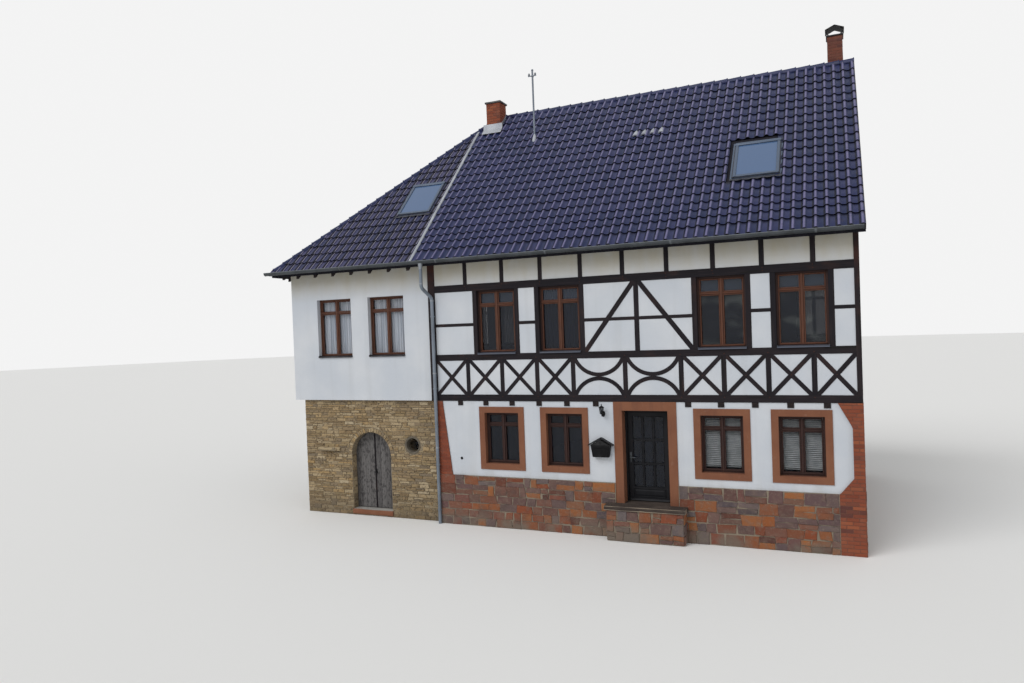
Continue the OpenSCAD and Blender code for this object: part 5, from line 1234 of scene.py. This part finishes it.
# Window panes: thin near black glass, partly opaque as painted shade of the dark rooms, that lets a little of the
# rooms through, with painted sky reflections on some upper panes; and in the roof windows blue grey glass, a painted
# sky reflection.
def glass_colours(w):
    x, z = w.place(0), w.place(2)
    # Painted shade: the panes are near black and kept partly opaque so they read as the dark rooms behind; those of
    # the wing and the lower right ones are clearer.
    roof, clear = z > 7.3, (x < -2.8) + (x > 4.0) * (z < 3.2)
    # Painted reflection: soft light patches on the upper panes at the right end of the house.
    painted_reflection = w.noise(1.6, 6, (1, 1, 1.4)).step(0.50, 0.72) * (z > 3.2) * (x > 3.2)
    colour = (painted_reflection * 0.8).blend((0.007, 0.010, 0.018), (0.075, 0.085, 0.085))
    # Painted reflection of the sky: the top lights of the timber house's upper windows are a lighter blue grey.
    colour = ((z > 5.70) * (x > -2.8)).blend(colour, (0.040, 0.052, 0.075))
    # Painted reflection of the sky: the roof window glass is blue and made opaque.
    return {"Base Color": roof.blend(colour, (0.070, 0.125, 0.240)),
            "Alpha": roof * 0.4 + (0.60 - clear * 0.50 * (1 - roof)),
            "Roughness": 0.04, "Specular IOR Level": 0.4, "Normal": w.noise(1.3, 2).bump(0.004, 0.3)}


glass = material("window_glass", glass_colours)
dress(glass, "window_glass")


# Curtains: white net with soft pleats in the wing, and dark blue ones in the second window
# of the timber house. Each hangs from a thin rod behind the panes.
def curtain(name, face, x, wide, top, out, pleats, surface):
    """A gathered curtain on a wall's inner side."""
    shape, rows, steps, long = Shape(face), [], pleats * 8, 1.50
    for k in range(13):
        swing = 0.010 + 0.012 * min(1, k / 4)
        drift = lambda i: wide * i / steps + 0.008 * math.sin(k * 0.6 + i * 0.21) * k / 12
        fold = lambda i: swing * math.sin(math.tau * i / 8) * (1 + 0.35 * math.sin(i * 0.37))
        rows.append([(x - wide / 2 + drift(i), top - long * k / 12, out + fold(i)) for i in range(steps + 1)])
    shape.rings(rows, closed=False, ends=False)
    piece = shape.make(name, surface, smooth=180)
    area = sum(p.area for p in piece.data.polygons)
    area / long


def net_colours(w):
    # Painted shade: the white net is darker in long vertical bands, as the shade in its folds.
    weave, fold = w.noise(300, 2), w.noise(7, 3, (1, 1, 0.05))
    return {"Base Color": fold.step(0.35, 0.7).blend((0.58, 0.63, 0.71), (0.75, 0.79, 0.86)), "Roughness": 0.95,
            "Alpha": weave * 0.1 + 0.88, "Normal": weave.bump(0.001, 0.3)}


def blue_colours(w):
    weave = w.noise(200, 3)
    return {"Base Color": weave.blend((0.030, 0.045, 0.120), (0.070, 0.095, 0.220)), "Roughness": 0.95,
            "Normal": weave.bump(0.001, 0.4)}


rod_drop, rod_in, blue = 0.04, 0.125, wins_above[1]
shape = Shape()
for shape.place, x, wide, z0, z1, out in wins_wing + [blue]:
    x0, x1, z, at = x - wide / 2 + 0.025, x + wide / 2 - 0.025, z1 - rod_drop, out - rod_in
    shape.tube([(x0 + 0.005, z, at), (x1 - 0.005, z, at)], 0.008, 8)
    for end in (x0, x1):
        shape.tube([(end + more, z, at) for more in (-0.014, -0.006, 0.006, 0.014)], [0.008, 0.015, 0.015, 0.006], 8)
shape.make("curtain_rods", window_wood, slot="window_wood", smooth=40)
net, blue_cloth = material("net_curtain", net_colours), material("blue_curtain", blue_colours)
for i, (face, x, wide, z0, z1, out) in enumerate(wins_wing):
    curtain(f"net_curtain_{i + 1}", face, x, wide - 0.12, z1 - 0.045, out - rod_in, 13, net)
face, x, wide, z0, z1, out = blue
curtain("blue_curtain", face, x, wide - 0.14, z1 - 0.045, out - rod_in, 12, blue_cloth)


# White slatted blinds behind the two right windows of the ground storey, let down to just
# over their foot rail, with their cords and a bottom rail.
def blind_colours(w):
    return {"Base Color": w.noise(8, 4).step(0.3, 0.7).blend((0.26, 0.28, 0.29), (0.36, 0.38, 0.39)),
            "Roughness": 0.6}


shape = Shape(front)
slats, pitch = 26, 0.042
slat = ((0.010, -0.014), (0.003, 0.001), (-0.010, 0.014), (-0.011, 0.0128), (0.002, 0.0), (0.009, -0.0152))
for face, x, wide, z0, z1, out in wins_below[2:4]:
    x0, x1, at, top = x - wide / 2 + 0.05, x + wide / 2 - 0.05, out - 0.115, z1 - 0.09
    for i in range(slats):
        shape.bar([(at + o, h) for o, h in slat], x0, x1, top - i * pitch)
    shape.block((x0, top + 0.018, at - 0.014), (x1, top + 0.044, at + 0.014), 0.5, 0.003)
    foot = top - slats * pitch
    shape.block((x0, foot - 0.012, at - 0.012), (x1, foot + 0.004, at + 0.012), 0.5, 0.003)
    for a in (x0 + 0.14, x1 - 0.14):
        shape.tube([(a, top + 0.01, at), (a, top - 1.09, at)], 0.0012, 6)
shape.make("window_blinds", material("blind_white", blind_colours))


# Black iron on the wall: the lantern on its arm, the letter box with its little roof, and
# the grid of a small round vent.
def iron_colours(w):
    fine, cloud = w.noise(60, 4), w.noise(6, 4)
    return {"Base Color": cloud.step(0.4, 0.75).blend((0.005, 0.005, 0.006), (0.012, 0.0115, 0.013)),
            "Roughness": fine * 0.2 + 0.38, "Specular IOR Level": 0.12, "Normal": fine.bump(0.001, 0.3)}


def on_front(name):
    """Where the middle of a node lies along the front, where its wall side is, and its width."""
    low, high = (front.inverted() @ corner_point for corner_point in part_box(name))
    return (low.x + high.x) / 2, min(low.z, high.z), abs(high.x - low.x)


def discs(profile, sides):
    """Round rings on a wall, one for each radius and place outward."""
    return [[(r * math.cos(a), r * math.sin(a), o) for a in (k * math.tau / sides for k in range(sides))] for r,
            o in profile]


def hexagons(profile):
    """Level six sided rings, one for each radius and height."""
    return [[(r * math.sin(k * math.tau / 6), z, r * math.cos(k * math.tau / 6)) for k in range(6)] for r,
            z in profile]


iron = material("black_iron", iron_colours)
x, wall_out, wide = on_front("lamp")
shape = Shape(front @ shifted(x, 2.87, wall_out))
oval = [(0.046 * math.sin(a), 0.074 * math.cos(a)) for a in (k * math.tau / 20 for k in range(20))]
shape.rings([[(a * grow, 0.078 + b * grow, o) for a, b in oval] for grow,
             o in ((1, -0.004), (1, 0.010), (0.86, 0.017))])
shape.tube(rounded([(0, 0.085, 0.010), (0, 0.030, 0.055), (0, 0.030, 0.135), (0, 0.100, 0.150)], 0.03), 0.0085, 10)
shape.tube(rounded([(0, 0.130, 0.012), (0, 0.165, 0.040), (0, 0.130, 0.066), (0, 0.060, 0.070)], 0.018), 0.006, 8)
hung = shape.place = front @ shifted(x, 2.915, wall_out + 0.150)
knob = ((0.225, 0.026), (0.240, 0.020), (0.250, 0.010), (0.262, 0.017), (0.272, 0.010), (0.282, 0.012),
        (0.290, 0.003))
shape.tube([(0, h, 0) for h, r in knob], [r for h, r in knob])
shape.rings(hexagons(((0.052, 0.190), (0.070, 0.190), (0.070, 0.197), (0.046, 0.222), (0.022, 0.236))))
shape.rings(hexagons(((0.038, 0.048), (0.042, 0.052), (0.042, 0.060), (0.036, 0.062))))
shape.tube([(0, h, 0) for h in (0.052, 0.040, 0.030)], [0.022, 0.014, 0.010])
for foot, top in zip(*hexagons(((0.038, 0.058), (0.054, 0.192)))):
    shape.tube([foot, top], 0.004, 6)
shape.block((-0.014, 0.06, -0.014), (0.014, 0.145, 0.014), 0.5, 0.005)
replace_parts(shape.make("lantern", iron, slot="black_metal", smooth=35), "lamp")
shape = Shape(hung)
shape.rings(hexagons(((0.034, 0.060), (0.050, 0.190))), ends=False)
shape.make("lantern_glass", glass, slot="window_pane")

x, wall_out, roof_w = on_front("letter_box")
half, face_out = roof_w * 0.41, 0.135
shape = Shape(front @ shifted(x, 1.92, wall_out))
around = ((-1, 0), (1, 0), (1, face_out - 0.012), (0.93, face_out), (-0.93, face_out), (-1, face_out - 0.012))
shape.rings([[(s * (half - 0.045 + 0.045 * t), 0.285 * t, o) for s, o in around] for t in (0, 0.06, 0.5, 1.0)])
shape.rings([[(-half - grow, 0.285, o), (half + grow, 0.285, o), (grow, 0.425, o), (-grow, 0.425, o)]
             for grow, o in ((0.0, 0.0), (0.0, face_out - 0.004), (-0.012, face_out))])
for side in (-1, 1):
    eave, ridge_at = Vector((side * roof_w / 2, 0.283)), Vector((0, 0.452))
    normal = Vector((-(ridge_at - eave).y, (ridge_at - eave).x)).normalized() * (-0.016 * side)
    shape.rings([[(p.x, p.y, o) for p in (eave, ridge_at, ridge_at + normal, eave + normal)] for o in (0, 0.150)])
    shape.tube([(eave.x, eave.y - 0.002, o) for o in (0, 0.150)], 0.010, 8)
frame_ring(shape, 0.060 - half, half - 0.060, 0.030, 0.190, 0.012, face_out - 0.004, face_out + 0.006, 0.5, 0.003)
shape.block((0.05 - half, 0.215, face_out - 0.004), (half - 0.05, 0.262, face_out + 0.010), 0.5, 0.005)
shape.tube([(0.045 - half, 0.264, face_out + 0.004), (half - 0.045, 0.264, face_out + 0.004)], 0.005, 8)
shape.tube([(0, 0.11, face_out + o) for o in (-0.002, 0.006, 0.009)], [0.020, 0.020, 0.012], 16)
for a in (k * math.tau / 8 for k in range(8)):
    shape.tube([(0.024 * math.cos(a), 0.345 + 0.024 * math.sin(a), face_out + o) for o in (-0.002, 0.005)], 0.007, 8)
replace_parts(shape.make("post_box", iron, slot="black_metal", smooth=35), "letter_box")
shape = Shape(front @ shifted(0.825, 1.741, wall_out))
shape.rings(discs(((0.036, -0.01), (0.036, 0.006), (0.033, 0.010), (0.026, 0.010), (0.024, 0.001)), 20))
for z in (-0.013, 0, 0.013):
    shape.block((-0.024, z - 0.003, 0), (0.024, z + 0.003, 0.006), 0.5, 0.001)
shape.make("wall_vent", iron, slot="black_metal")


# The front door: black painted wood with nine small panes in beads, a fielded kick panel, a
# weather bar and a lever handle on its plate. All of these swing with the leaf.
def door_colours(w):
    fibre = w.noise(30, 5, (1, 1, 0.1))
    colour = w.noise(2.5, 5).step(0.35, 0.7).blend((0.0055, 0.0058, 0.0078), (0.0095, 0.0100, 0.0125))
    return {"Base Color": (fibre.step(0.5, 0.75) * 0.5).blend(colour, (0.016, 0.016, 0.019)), "Roughness": 0.5,
            "Specular IOR Level": 0.2, "Normal": fibre.bump(0.0015, 0.4)}


black_paint = material("black_paint", door_colours)
dress(black_paint, "front_door", "door_frame")
leaf, pane_w, pane_h, rail = front @ shifted(5.208, 0.834, -0.306), 0.2270, 0.5400, 0.034
shape, panes = Shape(leaf), Shape(leaf)
for i in range(3):
    for j in range(3):
        x0, z0 = 0.115 + i * (pane_w + rail), 0.340 + j * (pane_h + rail)
        x1, z1 = x0 + pane_w, z0 + pane_h
        frame_ring(shape, x0 - 0.004, x1 + 0.004, z0 - 0.004, z1 + 0.004, 0.014, -0.024, 0.006, 0.5)
        panes.block((x0 + 0.004, z0 + 0.004, -0.028), (x1 - 0.004, z1 - 0.004, -0.022), 0.5, 0.002)
frame_ring(shape, 0.100, 0.879, 0.090, 0.300, 0.020, -0.004, 0.009, 0.5, 0.006)
x0, x1, z0, z1 = 0.130, 0.849, 0.120, 0.270
shape.rings([[(x0 + e, z0 + e, o), (x1 - e, z0 + e, o), (x1 - e, z1 - e, o), (x0 + e, z1 - e, o)]
             for e, o in ((0.0, -0.002), (0.0, 0.001), (0.030, 0.007))])
shape.bar([(-0.004, 0.006), (0.020, 0.006), (0.026, 0.014), (0.020, 0.030), (-0.004, 0.056)], 0.020, 0.959)
frame_ring(shape, 0.012, 0.967, 0.062, 2.131, 0.010, -0.004, 0.004, 0.5, 0.003)
shape.make("front_door_joinery", black_paint, body="front_door", slot="door_paint")
panes.make("front_door_panes", glass, body="front_door", slot="window_pane")
shape = Shape(leaf @ shifted(0.0575, 1.041))
shape.block((-0.0235, -0.1225, -0.002), (0.0235, 0.1225, 0.010), 0.5, 0.005)
shape.tube([(0, 0, o) for o in (0.006, 0.020, 0.024, 0.048)], [0.020, 0.018, 0.0125, 0.0125], 16)
lever = ((-0.013, 0.001), (-0.010, 0.0145), (0.006, 0.0160), (0.030, 0.0125), (0.100, 0.0120), (0.122, 0.0140),
         (0.128, 0.0060))
shape.tube([(a, 0, 0.0475) for a, r in lever], [r for a, r in lever], 16)
shape.tube([(0, -0.075, o) for o in (0.008, 0.016, 0.018)], [0.013, 0.013, 0.009], 16)
shape.make("front_door_handle", zinc, body="front_door", slot="black_metal", smooth=40)


# The cellar doors: grey weathered boards on each leaf, a dark strip on each side of the seam,
# an iron ring with its plate, and the pins they hang on.
def weathered_colours(w):
    fibre, blotch = w.noise(26, 6, (1, 1, 0.07)), w.noise(24, 6, (1, 1, 0.5))
    colour = w.attribute("tone").blend((0.085, 0.080, 0.080), (0.135, 0.128, 0.126))
    colour = (blotch.step(0.47, 0.62) * 0.75).blend(colour, (0.035, 0.033, 0.034))
    return {"Base Color": (fibre.step(0.5, 0.72) * 0.45).blend(colour, (0.20, 0.195, 0.19)), "Roughness": 0.95,
            "Specular IOR Level": 0.3, "Normal": (fibre * 0.6 + blotch * 0.4).bump(0.005, 0.7)}


def board(shape, outline, out, tone, edge=0.004):
    """A flat board with its front edges taken off."""
    mid = sum(outline, Vector((0, 0))) / len(outline)
    inner = [p + Vector((math.copysign(edge, mid.x - p.x), math.copysign(edge, mid.y - p.y))) for p in outline]
    layers = ((outline, -0.003), (outline, out - edge), (inner, out))
    shape.rings([[(p.x, p.y, o) for p in points] for points, o in layers], tone)


weathered = material("weathered_boards", weathered_colours)
dress(weathered, "cellar_door_left", "cellar_door_right")
dress(iron, "cellar_pins")
cellar_leaf, foot_z, board_w = front @ shifted(out=-0.339), 0.196, 0.147
round_top = lambda x: spring + math.sqrt(max(0.0, 0.628 ** 2 - (x - arch) ** 2))
for body, side in (("cellar_door_left", -1), ("cellar_door_right", 1)):
    boards, strip = Shape(cellar_leaf), Shape(cellar_leaf)
    for i in range(4):
        a, b = sorted(arch + side * (0.024 + i * 0.151 + more) for more in (0, board_w))
        top = [Vector((x, round_top(x))) for x in (b + (a - b) * k / 6 for k in range(7))]
        board(boards, [Vector((a, foot_z)), Vector((b, foot_z)), *top], random.uniform(0.005, 0.008), random.random())
    boards.make(body + "_boards", weathered, body=body, slot="grey_oak")
    a, b = sorted((arch + side * 0.006, arch + side * 0.022))
    corners = ((a, foot_z), (b, foot_z), (b, round_top(b) - 0.003), (a, round_top(a) - 0.003))
    board(strip, [Vector(p) for p in corners], 0.014, 0.3)
    strip.make(body + "_strip", timber, body=body, slot="dark_timber")
shape = Shape(cellar_leaf @ shifted(arch + 0.030, 1.22))
shape.block((-0.020, -0.060, 0.008), (0.020, 0.060, 0.018), 0.5, 0.003)
shape.tube([(0, 0.01, o) for o in (0.014, 0.030, 0.036)], [0.010, 0.010, 0.006])
ring = [k * math.tau / 24 for k in range(25)]
shape.tube([(0.038 * math.sin(a), 0.038 * math.cos(a) - 0.028, 0.028) for a in ring], 0.006, 10)
shape.tube([(0, -0.045, 0.016), (0, -0.045, 0.021)], 0.008)
shape.make("cellar_door_ring", iron, body="cellar_door_right", slot="black_metal", smooth=40)


# At the foot of the cellar doors a red sandstone threshold, beside them a round eye with a
# smooth plaster ring, and a rough slab that sticks out of the wall as a shelf.
shape, rings = Shape(front), []
for k in range(15):
    x = arch - 0.66 + 1.32 * k / 14
    lump = lambda a: 0.006 * noise.noise(Vector((x * 4, a * 7, 3)))
    worn = 0.010 * math.exp(-((x - arch) / 0.3) ** 2)
    rings.append([(x, 0.035 + lump(1), -0.30), (x, 0.035 + lump(1), -0.098 + lump(2)), (x, 0.05, -0.088 + lump(3)),
                  (x, 0.150, -0.090 + lump(4)), (x, 0.168 - worn + lump(5), -0.104), (x, 0.171 - worn, -0.30)])
shape.rings(rings, 0.4)
shape.make("cellar_threshold", sandstone, slot="step_stone", smooth=40)


# Painted shade: the plaster ring is coloured a dark beige brown that stands in for the shade of its deep reveal.
def eye_colours(w):
    cloud, grit = w.noise(6, 5), w.noise(60, 4)
    colour = cloud.step(0.3, 0.7).blend((0.085, 0.072, 0.055), (0.140, 0.120, 0.092))
    return {"Base Color": (grit.step(0.5, 0.8) * 0.3).blend(colour, (0.05, 0.042, 0.033)), "Roughness": 0.9,
            "Normal": grit.bump(0.003, 0.4)}


shape = Shape(front @ shifted(eye.x, eye.y))
profile = ((0.190, -0.300), (0.188, -0.145), (0.194, -0.128), (0.210, -0.121), (0.232, -0.121), (0.243, -0.128),
           (0.246, -0.160))
shape.rings(discs(profile, 48), ends=False)
shape.make("eye_ring", material("eye_plaster_painted_shade", eye_colours), slot="cellar_stone", smooth=40)
shape, rings = Shape(front), []
for k in range(17):
    x, taper = -3.805 + 0.70 * k / 16, 1 - 0.5 * max(0, (k - 10) / 6) ** 2
    lump = lambda size, b: size * noise.noise(Vector((x * 5, b * 5, 8)))
    reach = lambda out, *more: out * taper - 0.13 * (1 - taper) + lump(*more)
    rings.append([(x, 1.790 + lump(0.010, 1), -0.15), (x, 1.792 + lump(0.012, 2), reach(-0.030, 0.015, 3)),
                  (x, 1.84 + lump(0.006, 4), reach(-0.012, 0.015, 5)),
                  (x, 1.889 + lump(0.006, 6), reach(-0.022, 0.010, 7)), (x, 1.892 + lump(0.006, 6), -0.15)])
shape.rings(rings, 0.35)
shape.make("wall_ledge", cellar_stone, slot="cellar_stone")
